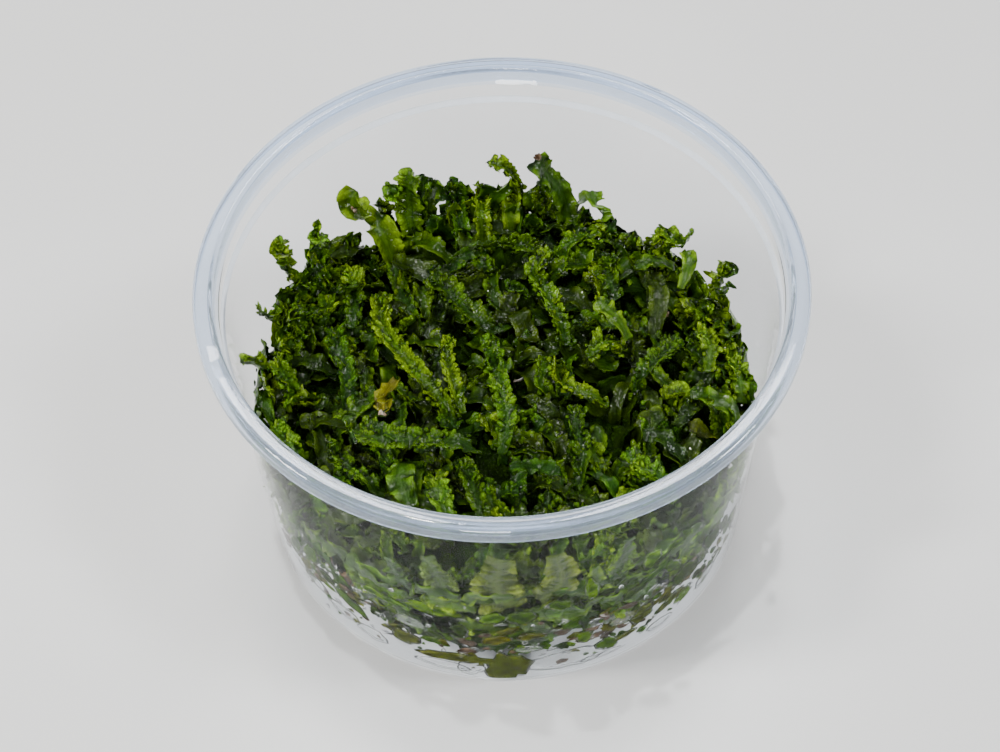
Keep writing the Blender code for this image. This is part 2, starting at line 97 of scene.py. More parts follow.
def smoothPath(points, spacing):  # a smooth curve through the given points
    given = np.array(points, float)
    padded = np.vstack([2 * given[0] - given[1], given, 2 * given[-1] - given[-2]])
    t = np.linspace(0, 1, 24, endpoint=False)[:, None]
    pieces = []
    for a, b, c, d in zip(padded, padded[1:], padded[2:], padded[3:]):
        slope, bend, turn = c - a, 2 * a - 5 * b + 4 * c - d, 3 * b - a - 3 * c + d
        pieces.append(b + 0.5 * (slope * t + bend * t**2 + turn * t**3))
    return evenly(np.vstack([*pieces, given[-1:]]), spacing, 3)


def linked(name, data):
    made = bpy.data.objects.new(name, data)
    bpy.context.scene.collection.objects.link(made)
    return made


def placed(name, mesh, node):  # it rides on the body and stands in the place of that solid
    made = linked(name, mesh)
    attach(made, "root")
    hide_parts(node)
    return made


def setValues(mesh, key, values):
    mesh.attributes.new(key, "FLOAT", "POINT").data.foreach_set("value", np.asarray(values, np.float32))


def makeObject(name, parts, materials, node):
    # each part: points (n, 3) in mm, faces of four, one material number, and values per point
    points, faces, indices, values, start = [], [], [], {}, 0
    for part in parts:
        points.append(part["points"])
        faces.append(part["faces"] + start)
        indices.append(np.full(len(part["faces"]), part.get("material", 0)))
        start += len(part["points"])
        for key, value in part["values"].items():
            values.setdefault(key, []).append(value)
    points, faces, indices = np.vstack(points), np.vstack(faces), np.concatenate(indices)
    mesh = bpy.data.meshes.new(name)
    mesh.vertices.add(len(points))
    mesh.vertices.foreach_set("co", (points * mm).astype(np.float32).ravel())
    mesh.loops.add(faces.size)
    mesh.loops.foreach_set("vertex_index", faces.astype(np.int32).ravel())
    mesh.polygons.add(len(faces))
    mesh.polygons.foreach_set("loop_start", np.arange(0, faces.size, 4, dtype=np.int32))
    mesh.polygons.foreach_set("material_index", indices.astype(np.int32))
    mesh.update(calc_edges=True)
    for key, value in values.items():
        setValues(mesh, key, np.concatenate(value))
    for material in materials:
        mesh.materials.append(material)
    mesh.shade_smooth()
    return placed(name, mesh, node)


def newMaterial(name):
    material = bpy.data.materials.new(name)
    material.use_nodes = True
    tree = material.node_tree
    tree.nodes.clear()
    return material, tree


def feed(tree, socket, value):  # a link, a colour or a number
    if isinstance(value, bpy.types.NodeSocket):
        tree.links.new(value, socket)
    elif socket.type == "RGBA":
        socket.default_value = (*value, 1)
    else:
        socket.default_value = value


def addNode(tree, kind, **settings):
    node = tree.nodes.new(kind)
    for key, value in settings.items():
        if key in node.inputs:
            feed(tree, node.inputs[key], value)
        else:
            setattr(node, key, value)
    return node


def attributeOf(tree, name):
    return addNode(tree, "ShaderNodeAttribute", attribute_name=name).outputs["Fac"]


def objectPlace(tree):
    return addNode(tree, "ShaderNodeTexCoord").outputs["Object"]


def mathOf(tree, operation, *values, clamp=False):
    node = addNode(tree, "ShaderNodeMath", operation=operation, use_clamp=clamp)
    for socket, value in zip(node.inputs, values):
        feed(tree, socket, value)
    return node.outputs[0]


def times(tree, first, second):
    return mathOf(tree, "MULTIPLY", first, second)


def plus(tree, first, second, clamp=False):
    return mathOf(tree, "ADD", first, second, clamp=clamp)


def rampOf(tree, value, *stops):  # stops: (position, grey level or colour)
    node = addNode(tree, "ShaderNodeValToRGB", Fac=value)
    ramp = node.color_ramp
    while len(ramp.elements) < len(stops):
        ramp.elements.new(0.5)
    for element, (position, level) in zip(ramp.elements, stops):
        element.position = position
        colour = (level, level, level) if isinstance(level, (int, float)) else level
        element.color = (*colour, 1)
    return node.outputs["Color"]


def mixOf(tree, amount, first, second, blend="MIX"):
    node = addNode(tree, "ShaderNodeMix", data_type="RGBA", blend_type=blend)
    for number, value in ((0, amount), (6, first), (7, second)):
        feed(tree, node.inputs[number], value)
    return node.outputs[2]


def noiseOf(tree, scale, detail, vector, roughness=0.5):
    node = addNode(tree, "ShaderNodeTexNoise", Scale=scale, Detail=detail, Roughness=roughness, Vector=vector)
    return node.outputs["Fac"]


def bumpOf(tree, height, strength, distance):
    bump = addNode(tree, "ShaderNodeBump", Strength=strength, Distance=distance, Height=height)
    return bump.outputs["Normal"]


def worn(tree, shader):
    addNode(tree, "ShaderNodeOutputMaterial", Surface=shader.outputs[0])


def wornClear(tree, shader, shadow):  # a shadow ray passes through, tinted
    clear = addNode(tree, "ShaderNodeBsdfTransparent", Color=shadow)
    path = addNode(tree, "ShaderNodeLightPath")
    skin = addNode(tree, "ShaderNodeMixShader")
    for socket, source in zip(skin.inputs, (path.outputs["Is Shadow Ray"], shader.outputs[0], clear.outputs[0])):
        tree.links.new(source, socket)
    worn(tree, skin)


cup = {
    "foot": 47.7,  # outer radius at the table
    "flare": 6.05,  # how much wider the wall is at seatHeight
    "seatHeight": 58.5,
    "wall": 0.55,
    "segments": 160,
    "rimFrom": 62.95,
    "wallLook": {"milk": 0.004, "tint": (0.96, 0.97, 0.985), "gloss": 0.03, "bend": 1.06},
    "rimLook": {"milk": 0.11, "tint": (0.70, 0.80, 0.96), "gloss": 0.05, "bend": 1.45},
    "ledgeLook": {"milk": 0.55, "tint": (0.80, 0.86, 0.94), "gloss": 0.12, "bend": 1.06},
    "shadow": (0.94, 0.95, 0.96),
    "nicks": [(-162.0, 1.6), (93.0, 1.4), (57.0, 3.6), (24.0, 2.2)],  # (degrees, length) on the bead
    "nickDepth": 0.28,
    "bead": 57.4,  # radius of the bead's top
    "ledge": 58.95,  # height of the ledge under the bead
}
cupSection = [  # (radius, height, rounding), under the floor, up the outside, down the inside
    (0, 1.0, 0), (38.2, 1.0, 0.8), (39.3, 0, 0.5), (47.68, 0, 1.5), (53.72, 58.1, 0.5), (54.75, 59.2, 0.8),
    (54.9, 62.7, 0.5), (55.75, 63.6, 0.5), (55.9, 65.0, 0.5), (58.2, 65.0, 0.6), (58.32, 63.2, 0.15),
    (59.0, 63.2, 0.25), (59.0, 66.4, 1.55), (55.1, 66.4, 0.75), (54.9, 63.4, 0.5), (54.15, 62.5, 0.5),
    (54.05, 59.4, 0.9), (53.2, 58.5, 0.25), (47.2, 0.55, 1.1), (39.7, 0.55, 0.5), (38.0, 1.55, 0.8), (0, 1.55, 0),
]


def wallRadius(z):  # inner radius of the wall
    return cup["foot"] - cup["wall"] + cup["flare"] * z / cup["seatHeight"]


def roundedSection(corners, longest=6.0):
    points = [np.array(corners[0][:2], float)]
    for before, here, after in zip(corners, corners[1:], corners[2:]):
        p = np.array(here[:2], float)
        back, ahead = np.array(before[:2]) - p, np.array(after[:2]) - p
        backLength, aheadLength = np.linalg.norm(back), np.linalg.norm(ahead)
        back, ahead = back / backLength, ahead / aheadLength
        turn = math.acos(np.clip(back @ ahead, -1, 1))
        cut = min(here[2] / math.tan(turn / 2), 0.49 * backLength, 0.49 * aheadLength)
        radius = cut * math.tan(turn / 2)
        centre = p + unit(back + ahead) * radius / math.sin(turn / 2)
        first, last = p + back * cut - centre, p + ahead * cut - centre
        steps = max(2, int(5 * (math.pi - turn)))
        for i in range(steps + 1):
            share = i / steps
            arm = first * (1 - share) + last * share
            points.append(centre + unit(arm) * radius)
    points.append(np.array(corners[-1][:2], float))
    filled = [points[0]]
    for a, b in zip(points, points[1:]):
        pieces = max(1, math.ceil(np.linalg.norm(b - a) / longest))
        filled += [a + (b - a) * (i + 1) / pieces for i in range(pieces)]
    return np.array(filled)


def makeCup():
    section = roundedSection(cupSection)
    count, around = len(section), cup["segments"]
    angle = 2 * math.pi * np.arange(around) / around
    r, z = section[1:-1, 0], section[1:-1, 1]
    radius = np.repeat(r[:, None], around, axis=1)
    height = np.repeat(z[:, None], around, axis=1)
    for degrees, length in cup["nicks"]:  # moulding marks on the bead's top
        off = (np.degrees(angle) - degrees + 180) % 360 - 180
        along = np.exp(-((off / 180 * math.pi * 57) / (0.5 * length)) ** 4)
        top = np.exp(-(((r - cup["bead"]) / 0.6) ** 2)) * (z > 65.6)
        height -= cup["nickDepth"] * top[:, None] * along
    points = np.stack([radius * np.cos(angle), radius * np.sin(angle), height], axis=-1).reshape(-1, 3)
    points = np.vstack([points, [0, 0, section[0, 1]], [0, 0, section[-1, 1]]])
    i, j = np.meshgrid(np.arange(count - 3), np.arange(around), indexing="ij")
    k = (j + 1) % around
    faces = np.stack([i * around + j, i * around + k, (i + 1) * around + k, (i + 1) * around + j], axis=-1)
    faces = faces.reshape(-1, 4)
    ledge = (np.hypot(points[:, 0], points[:, 1]) < 54.2) & (np.abs(points[:, 2] - cup["ledge"]) < 0.6)
    rim = np.maximum(smoothStep(60.0, 63.8, points[:, 2]), ledge)
    mesh = bpy.data.meshes.new("cup")
    low, high = len(points) - 2, len(points) - 1
    last = (count - 3) * around
    caps = [(low, (a + 1) % around, a) for a in range(around)]
    caps += [(high, last + a, last + (a + 1) % around) for a in range(around)]
    mesh.from_pydata((points * mm).tolist(), [], faces.tolist() + caps)
    setValues(mesh, "rim", rim)
    inRim = points[faces[:, [0, 2]], 2].mean(axis=1) > cup["rimFrom"]
    for where in ("wall", "rim", "ledge"):
        mesh.materials.append(cupPlastic(where, cup[where + "Look"]))
    finish = inRim + 2 * ledge[faces[:, [0, 2]]].all(axis=1)
    mesh.polygons.foreach_set("material_index", np.concatenate([finish, np.zeros(len(caps))]).astype(np.int32))
    mesh.shade_smooth()
    placed("clearCup", mesh, "cup")
    print("cup:", len(mesh.polygons), "faces")


def cupPlastic(where, look):  # clear polypropylene: bluish, cloudier and glossier in the rim
    material, tree = newMaterial(f"clear polypropylene, {where}")
    place = objectPlace(tree)
    stretched = addNode(tree, "ShaderNodeMapping", Scale=(1, 1, 0.12), Vector=place)
    streaks = noiseOf(tree, 90, 3, stretched.outputs["Vector"])
    fine = noiseOf(tree, 1500, 2, place)
    clearest = cup["wallLook"]["milk"]
    cloud = mathOf(tree, "MULTIPLY_ADD", attributeOf(tree, "rim"), look["milk"] - clearest, clearest)
    cloud = times(tree, cloud, plus(tree, streaks, 0.5))
    plastic = addNode(tree, "ShaderNodeBsdfPrincipled", IOR=look["bend"], Roughness=look["gloss"], **{
        "Base Color": look["tint"],
        "Transmission Weight": mathOf(tree, "SUBTRACT", 1.0, cloud),
        "Normal": bumpOf(tree, plus(tree, streaks, times(tree, fine, 0.1)), 0.06, 0.0005),
    })
    wornClear(tree, plastic, cup["shadow"])
    return material


makeCup()


tones = {  # painted shade in the folds, the flat of the leaf, the crisped margin, and along the middle (partly its own duller green, partly a painted sheen)
    "fresh": ((0.012, 0.040, 0.0005), (0.056, 0.145, 0.001), (0.180, 0.325, 0.004), (0.050, 0.105, 0.006)),
    "mature": ((0.006, 0.022, 0.0005), (0.024, 0.082, 0.001), (0.100, 0.205, 0.002), (0.028, 0.066, 0.006)),
    "shaded": ((0.004, 0.012, 0.0005), (0.017, 0.038, 0.001), (0.048, 0.092, 0.002), (0.020, 0.040, 0.003)),
    # painted shade: darker greens for the strands deep in the heap and the matted middle, so the gaps read dark
    "paintedShade": ((0.007, 0.015, 0.002), (0.012, 0.029, 0.002), (0.024, 0.058, 0.002), (0.012, 0.024, 0.002)),
    "aged": ((0.016, 0.018, 0.001), (0.078, 0.092, 0.003), (0.190, 0.195, 0.010), (0.080, 0.074, 0.006)),
    "dead": ((0.030, 0.017, 0.008), (0.120, 0.070, 0.038), (0.260, 0.175, 0.120), (0.100, 0.055, 0.030)),
    "ochre": ((0.050, 0.046, 0.002), (0.112, 0.128, 0.004), (0.262, 0.286, 0.013), (0.170, 0.150, 0.010)),
    "pale": ((0.220, 0.150, 0.100), (0.420, 0.330, 0.260), (0.640, 0.540, 0.470), (0.400, 0.300, 0.240)),
    # painted veil: paler, greyer greens for the broad leaves behind the front wall, in place of the hazy light over
    # them
    "paintedVeil": ((0.020, 0.042, 0.004), (0.056, 0.100, 0.008), (0.150, 0.215, 0.022), (0.070, 0.110, 0.016)),
}
toneNames = list(tones)
grain = {"mottle": 520, "blotch": 130, "drops": 1300, "knobs": 1500, "fineKnobs": 3300}  # cells a metre
wetness = {"film": 0.7, "filmRoughness": 0.04, "gloss": 0.05, "bend": 1.33, "bump": 1.0}


def rounded(tree, place, scale):  # small knobs with creases between them
    cells = addNode(tree, "ShaderNodeTexVoronoi", Scale=scale, Vector=place)
    return mathOf(tree, "SUBTRACT", 1.0, cells.outputs["Distance"], clamp=True)


def thallusFinish(tone, pressed=False):  # a pressed one lies in the water on the wall, so it has no shine of its own
    deep, leaf, margin, middle = tones[tone]
    dull = pressed or tone == "paintedShade"
    material, tree = newMaterial(f"{'pressed' if pressed else 'wet'} thallus, {tone}")
    place = objectPlace(tree)
    edge, crest, across, run, tint, knobbly, root = (
        attributeOf(tree, name) for name in ("edge", "crest", "across", "run", "tint", "knobs", "root"))
    mottle, blotch = noiseOf(tree, grain["mottle"], 3, place), noiseOf(tree, grain["blotch"], 2, place)
    stripes = addNode(tree, "ShaderNodeCombineXYZ", X=times(tree, across, 9.0), Y=times(tree, run, 0.45),
                      Z=times(tree, tint, 40.0))
    lines = noiseOf(tree, 1.0, 3, stripes.outputs[0], 0.6)  # fine lines along the ribbon
    knobs = times(tree, rounded(tree, place, grain["knobs"]), 0.6)
    knobs = plus(tree, knobs, times(tree, rounded(tree, place, grain["fineKnobs"]), 0.4))

    # painted light and shade: margins lifted high take the leaf colour, low ones the fold colour; the mottle varies
    # it at random
    folds = mathOf(tree, "MULTIPLY_ADD", crest, 0.5, 0.22)
    folds = plus(tree, folds, times(tree, mathOf(tree, "SUBTRACT", mottle, 0.5), 0.9), True)
    colour = mixOf(tree, rampOf(tree, folds, (0.08, 0.0), (0.8, 1.0)), deep, leaf)
    # along the midrib: partly its own duller bluish green, partly a painted sheen
    midribToneAndSheen = rampOf(tree, edge, (0.0, 1.0), (0.12, 0.7), (0.3, 0.0))
    colour = mixOf(tree, times(tree, midribToneAndSheen, 0.45), colour, middle)
    # painted light: the bright margin colour shows most on the raised lobes, and where the mottle is high
    crestLightAndMottle = plus(tree, times(tree, crest, 0.55), times(tree, mottle, 0.9))
    crestLightAndMottle = mathOf(tree, "SUBTRACT", crestLightAndMottle, 0.12, clamp=True)
    frill = times(tree, rampOf(tree, edge, (0.25, 0.0), (0.75, 1.0)), crestLightAndMottle)
    colour = mixOf(tree, frill, colour, margin)
    colour = mixOf(tree, times(tree, rampOf(tree, lines, (0.4, 0.0), (0.7, 1.0)), 0.2), colour, middle)
    # painted shade between the knobs and painted highlight on their tops
    creases = rampOf(tree, knobs, (0.35, 0.3), (0.62, 0.95), (0.85, 1.7))
    colour = mixOf(tree, knobbly, colour, mixOf(tree, 1.0, colour, creases, "MULTIPLY"))
    veins = rampOf(tree, lines, (0.32, 0.55), (0.5, 1.0), (0.7, 1.3))
    colour = mixOf(tree, 0.6, colour, mixOf(tree, 1.0, colour, veins, "MULTIPLY"))
    # painted shade towards the base of each ribbon, where it dives into the heap
    colour = mixOf(tree, times(tree, root, 0.75), colour, deep)
    shade = rampOf(tree, plus(tree, tint, mathOf(tree, "SUBTRACT", blotch, 0.5)),
                   (0.05, (0.62, 0.80, 0.95)), (0.5, (1.0, 1.0, 1.0)), (0.95, (1.3, 1.15, 0.8)))
    colour = mixOf(tree, 1.0, colour, shade, "MULTIPLY")

    height = plus(tree, times(tree, times(tree, knobs, knobbly), 1.2), times(tree, lines, 0.35))
    height = plus(tree, height, times(tree, mottle, 0.6))
    skin = addNode(tree, "ShaderNodeBsdfPrincipled", **{
        "Base Color": colour,
        "Roughness": mathOf(tree, "MULTIPLY_ADD", mottle, 0.35, 0.25),
        "Normal": bumpOf(tree, height, wetness["bump"], 0.00045),
        "Specular IOR Level": 0.0 if dull else wetness["gloss"],
        "Coat Weight": 0.03 if dull else wetness["film"],
        "Coat Roughness": wetness["filmRoughness"],
        "Coat IOR": wetness["bend"],
        "Coat Normal": bumpOf(tree, noiseOf(tree, grain["drops"], 1, place), 0.7, 0.0004),
    })
    worn(tree, skin)
    return material


finishes = {tone: thallusFinish(tone) for tone in tones}
finishList = [finishes[tone] for tone in toneNames]
pressedList = [thallusFinish(tone, True) for tone in toneNames]
print("finishes made")


ruffle = {  # one thallus is a ribbon with a thick middle and ruffled margins
    "lobe": 1.25,  # length of one lobe of the margin
    "tooth": 0.48,
    "height": 0.85,
    "spread": 0.13,  # how far a lobe widens over its neighbours
    "crumple": 0.5,  # how far the knobs of the margin are pushed about
    "fineStep": 0.15,  # spacing of the cross-sections of a crisped ribbon
    "plainStep": 0.42,
    "columns": 11,
    "thin": 0.14,  # thickness of the margin
    "thick": 0.5,  # thickness of the midrib
}


def closedSheet(rows, columns):  # the faces of a flat piece whose top and underside share the edge
    inner = np.zeros((rows, columns), bool)
    inner[1:-1, 1:-1] = True
    top = np.arange(rows * columns).reshape(rows, columns)
    low = top.copy()
    low[inner] = rows * columns + np.arange(inner.sum())
    upper = np.stack([top[:-1, :-1], top[:-1, 1:], top[1:, 1:], top[1:, :-1]], axis=-1).reshape(-1, 4)
    lower = np.stack([low[:-1, :-1], low[1:, :-1], low[1:, 1:], low[:-1, 1:]], axis=-1).reshape(-1, 4)
    return inner, np.vstack([upper, lower])


def onCircle(radius, angle, z):
    return radius * math.cos(angle), radius * math.sin(angle), z


def ribbon(line, width, tone, crisp, rng, tip="start", step=None, columns=None, flat=True, twist=0.35, curl=None,
           dive=0.0, facing=1, dark=1.0):
    step = step or (ruffle["fineStep"] if crisp > 0.45 else ruffle["plainStep"])
    columns = columns or ruffle["columns"]
    line = evenly(line, step, 8)
    spacing = np.linalg.norm(line[1] - line[0])
    run = np.arange(len(line)) * spacing
    if dive:
        fromEnd = (run if tip == "end" else run[-1] - run)
        line = line - np.outer(dive * smoothStep(4.5, 0, fromEnd), (0, 0, 1))
    tangent = unit(np.gradient(line, axis=0))
    if flat:
        side = unit(np.stack([tangent[:, 1], -tangent[:, 0], np.zeros(len(line))], axis=1))
    else:  # it lies against the wall and faces it, or with facing -1 the middle of the cup
        side = unit(np.cross(tangent, unit(line * (1, 1, 0)))) * facing
    up = np.cross(side, tangent)
    turn = twist * wander(run, 7.0, rng)[:, None]
    side, up = side * np.cos(turn) + up * np.sin(turn), up * np.cos(turn) - side * np.sin(turn)
    length = run[-1]
    fromTip = run if tip == "start" else length - run
    fromBase = length - fromTip
    rounding = np.sqrt(np.clip(1 - (1 - np.clip(fromTip / (0.45 * width), 0, 1)) ** 2, 0, 1))
    half = width / 2 * (0.16 + 0.84 * rounding) * (0.55 + 0.45 * smoothStep(0, 1.3 * width, fromBase))
    crisp = 0.2 + 0.8 * crisp
    half *= 1 - 0.14 * crisp + 0.14 * crisp * np.exp(-(fromTip / width) ** 2) + 0.08 * wander(run, 3.5, rng)
    lively = crisp * (0.72 + 0.5 * np.exp(-fromTip / (1.5 * width))) * (0.55 + 0.45 * smoothStep(0, 5, fromBase))
    v = np.sin(np.linspace(-1, 1, columns) * math.pi / 2)
    a = np.abs(v)
    lift = np.zeros((len(line), columns))
    lean, reach, aside = np.zeros_like(lift), np.ones_like(lift), np.zeros_like(lift)
    for mask in (v < 0, v > 0):
        edgeHere = a[mask]
        flank = smoothStep(0.15, 0.9, edgeHere)
        place = run / ruffle["lobe"] + 0.5 * wander(run, 2.2, rng) + rng.uniform(0, 1) + 3
        place = place[:, None] + rng.choice([-0.5, 0.5]) * edgeHere[None] * (1 + wander(run, 3.0, rng)[:, None])
        lobe, part = np.floor(place).astype(int), place % 1
        size = rng.uniform(0.4, 1.5, lobe.max() + 1)
        size[rng.uniform(0, 1, len(size)) < 0.3] *= -0.75  # some lobes turn down
        size = size[lobe]
        scallop = np.sin(math.pi * part) ** 0.55
        teeth = np.sin(2 * math.pi * (run / ruffle["tooth"] + 0.6 * wander(run, 0.9, rng)))[:, None]
        slow = np.sin(2 * math.pi * run / rng.uniform(3.5, 6) + rng.uniform(0, 6.3))[:, None]
        outer = smoothStep(0.1, 0.48, edgeHere)[None]
        eager = lively[:, None]
        shove = [patches(run, edgeHere, 0.62, 0.34, rng) for _ in range(3)]
        lift[:, mask] = ruffle["height"] * eager * (size * scallop * 1.3 - 0.2) * flank
        lift[:, mask] += ruffle["crumple"] * shove[0] * eager * outer + 0.16 * eager * teeth * edgeHere**3
        lift[:, mask] += 0.45 * (1.2 - crisp) * slow * flank
        lean[:, mask] = -ruffle["spread"] * eager * np.sin(2 * math.pi * part) * edgeHere**2
        lean[:, mask] += 0.8 * ruffle["crumple"] * shove[1] * eager * outer
        aside[:, mask] = 0.6 * ruffle["crumple"] * shove[2] * eager * outer
        reach[:, mask] += eager * (0.34 * np.abs(size) * scallop - 0.18) * edgeHere**2
    # how high each margin point is lifted; the finish paints light on raised lobes and shade in the folds from it
    crest = np.clip(lift / ruffle["height"], -1, 1.6)
    curl = rng.uniform(-0.2, 0.3) + 0.45 * crisp if curl is None else curl
    lift += curl * np.outer(half, v**2)
    middle = line[:, None] + side[:, None] * (half[:, None] * v * reach + aside)[..., None]
    middle = middle + up[:, None] * lift[..., None] + tangent[:, None] * lean[..., None]
    outward = unit(np.cross(np.gradient(middle, axis=1), np.gradient(middle, axis=0)))
    thickness = ruffle["thin"] + (ruffle["thick"] - ruffle["thin"]) * np.exp(-((a / 0.3) ** 2))
    offset = outward * (thickness / 2)[None, :, None]
    rows = len(line)
    inner, faces = closedSheet(rows, columns)
    offset[~inner] = 0
    points = np.vstack([(middle + offset).reshape(-1, 3), (middle - offset)[inner]])
    tint = rng.uniform(0, 1)
    # painted shade towards the base, where the ribbon dives into the heap; dark sets how much
    root = dark * smoothStep(7, 0, fromBase)[:, None] * smoothStep(3, 16, length)
    knobs = lively[:, None] * smoothStep(0.0, 0.3, a)[None]
    values = {"root": np.tile(root, (1, columns)), "edge": np.tile(a, (rows, 1)), "crest": crest,
              "across": np.tile(v, (rows, 1)), "run": np.tile(run[:, None], (1, columns)),
              "tint": np.full((rows, columns), tint), "knobs": knobs}
    values = {key: np.concatenate([value.ravel(), value[inner]]) for key, value in values.items()}
    return {"points": points, "faces": faces, "values": values, "material": toneNames.index(tone),
            "line": line, "side": side, "up": up, "tangent": tangent, "root": root[:, 0]}


def sideLobe(parent, at, turn, length, width, tone, crisp, rng):  # a short fork that leaves a ribbon's middle
    i = int(at * (len(parent["line"]) - 1))
    heading = parent["tangent"][i] * math.cos(turn) + parent["side"][i] * math.sin(turn)
    steps = np.linspace(0, 1, 6)[:, None]
    bend = parent["tangent"][i] * 0.3 * np.sign(math.cos(turn))
    line = parent["line"][i] + length * (heading * steps + bend * steps**2) + parent["up"][i] * 0.5 * steps
    return ribbon(line, width, tone, crisp, rng, tip="end", curl=0.1, step=0.2, columns=7)


leaflet = {"wide": 1.25, "long": 1.15, "thickness": 0.13, "apart": 1.0}  # small lobes on a crisped margin


def leaflets(parent, width, rng, apart=1.0):
    line, side, up, tangent = (parent[key] for key in ("line", "side", "up", "tangent"))
    length = np.linalg.norm(line[1] - line[0]) * (len(line) - 1)
    count = max(2, int(2 * length / (leaflet["apart"] * apart)))
    i = rng.integers(1, len(line) - 1, count)
    flank, rise = rng.choice([-1, 1], (count, 1)), rng.uniform(-0.3, 1.25, (count, 1))
    away = flank * side[i] * np.cos(rise) + up[i] * np.sin(rise) + tangent[i] * rng.uniform(-0.6, 0.6, (count, 1))
    away = unit(away)
    along = unit(tangent[i] - away * (tangent[i] * away).sum(axis=1, keepdims=True)) * flank
    back = np.cross(along, away)
    root = line[i] + side[i] * flank * width * rng.uniform(0.16, 0.4, (count, 1))
    root = root + up[i] * rng.uniform(0, 0.5, (count, 1))
    size = rng.uniform(0.65, 1.2, count)[:, None, None, None]
    out, over = np.meshgrid((0.0, 0.4, 0.8, 1.0), (-1.0, -0.4, 0.4, 1.0), indexing="ij")
    half = leaflet["wide"] / 2 * np.array([0.5, 1.0, 0.9, 0.45])[:, None]
    cupped = (0.35 * over**2 - 0.1) * out * rng.choice([-1, 1, 1], (count, 1, 1))
    cupped = cupped + 0.12 * rng.uniform(-1, 1, (count, 4, 4))
    away, along, back = away[:, None, None], along[:, None, None], back[:, None, None]
    middle = away * (leaflet["long"] * (out - 0.12 * over**2))[..., None] + along * (half * over)[..., None]
    middle = root[:, None, None] + size * (middle + back * cupped[..., None])
    outward = unit(np.cross(np.gradient(middle, axis=2), np.gradient(middle, axis=1))) * leaflet["thickness"] / 2
    inner, faces = closedSheet(4, 4)
    outward[:, ~inner] = 0
    points = np.concatenate([(middle + outward).reshape(count, 16, 3), (middle - outward)[:, inner]], axis=1)
    faces = faces[None] + 20 * np.arange(count)[:, None, None]
    # painted light towards each leaflet's tip and painted shade at its base, by its crest
    shade = {"edge": 0.35 + 0.65 * out, "crest": -0.2 + 1.1 * out, "across": over, "run": out,
             "knobs": 0.15 + 0.25 * out}
    values = {key: np.tile(np.concatenate([value.ravel(), value[inner]]), count) for key, value in shade.items()}
    values["root"] = np.repeat(parent["root"][i], 20)
    values["tint"] = np.full(count * 20, parent["values"]["tint"][0])
    return {"points": points.reshape(-1, 3), "faces": faces.reshape(-1, 4), "values": values,
            "material": parent["material"]}


# Where the thalli lie: the same room in the cup, and the same lines, as the solids have.
heap = {
    "radius": 49.0, "edge": 28.5, "dome": 5.5, "shoulder": 3.5, "shoulderFrom": 22.0,
    "sideAir": 0.8, "fullFrom": 20.0, "foot": 40.0,
}
laying = {
    "thickness": 1.1, "crispHeight": 0.75, "crispSpread": 0.12, "step": 0.5, "reach": 3, "gap": 0.3,
    "wallAir": 0.9, "sideAir": 0.6, "highest": 50.0, "standsFrom": 2.5, "stillBeyond": 1.0, "rise": 0.25,
}
seenLevel = 38.0  # the thalli are placed by where they are seen against a level plane at this height
seenSlope = math.tan(math.radians(50.4))


def heapHeight(x, y):
    r = math.hypot(x, y)
    dome = heap["edge"] + heap["dome"] * (1 - (r / heap["radius"]) ** 2)
    behind = max(0.0, (y - heap["shoulderFrom"]) / (heap["radius"] - heap["shoulderFrom"]))
    lumps = 1.0 * math.sin(0.31 * x + 1.0) * math.cos(0.27 * y - 0.4)
    ridges = 0.7 * math.sin(0.52 * (x + y)) * math.cos(0.43 * (x - 0.6 * y))
    return dome + heap["shoulder"] * behind + lumps + ridges


def heapSide(angle, z):
    swell = min(1.0, max(0.0, (z - 2.0) / (heap["fullFrom"] - 2.0)))
    radius = heap["foot"] + (wallRadius(z) - heap["foot"]) * math.sin(swell * math.pi / 2)
    lumps = 0.9 * math.sin(5 * angle + 0.35 * z) + 0.7 * math.sin(11 * angle - 0.5 * z)
    return min(radius + lumps, wallRadius(z) - heap["sideAir"])


class Room:  # the space in the cup as small cells, each taken or free
    cell, reach, top = 0.5, 56.0, 75.0

    def __init__(self):
        count = int(2 * self.reach / self.cell) + 1
        self.taken = np.zeros((count, count, int(self.top / self.cell)), bool)
        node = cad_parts["packed_thalli"].data
        node.calc_loop_triangles()
        tree = BVHTree.FromPolygons([v.co for v in node.vertices], [t.vertices for t in node.loop_triangles])
        for i in range(count):
            for j in range(count):
                x, y = i * self.cell - self.reach, j * self.cell - self.reach
                hit = tree.ray_cast(Vector((x, y, 100)) * mm, Vector((0, 0, -1)))[0]
                top = heap["edge"] - 2.5 if hit is None else hit.z / mm
                self.taken[i, j, :math.ceil(top / self.cell - 1e-4)] = True

    def cells(self, x, y, radius):
        reach = int(radius / self.cell) + 1
        i, j = round((x + self.reach) / self.cell), round((y + self.reach) / self.cell)
        di, dj = np.mgrid[-reach:reach + 1, -reach:reach + 1]
        near = (di**2 + dj**2) * self.cell**2 <= radius**2
        last = self.taken.shape[0] - 1
        return np.clip(i + di[near], 0, last), np.clip(j + dj[near], 0, last)

    def lowestFree(self, x, y, radius, body, z):
        column = self.taken[self.cells(x, y, radius)].any(axis=0)
        bottom = max(0, math.floor((z - body) / self.cell))
        while True:
            top = bottom + math.ceil(2 * body / self.cell) + 1
            blocked = np.flatnonzero(column[bottom:top])
            if not len(blocked):
                return max(z, bottom * self.cell + body)
            bottom += blocked[-1] + 1

    def take(self, x, y, radius, low, high):
        rows, columns = self.cells(x, y, radius)
        self.taken[rows, columns, math.floor(low / self.cell):math.ceil(high / self.cell)] = True


def easedOver(heights, reach):  # bridges dips and never goes below a height
    wide = np.pad(heights, 2 * reach, mode="edge")
    count = len(heights)
    highest = np.array([wide[i:i + 2 * reach + 1].max() for i in range(count + 2 * reach)])
    return np.array([highest[i:i + 2 * reach + 1].mean() for i in range(count)])


def seenAt(x, y, z):
    return x, y - (z - seenLevel) / seenSlope


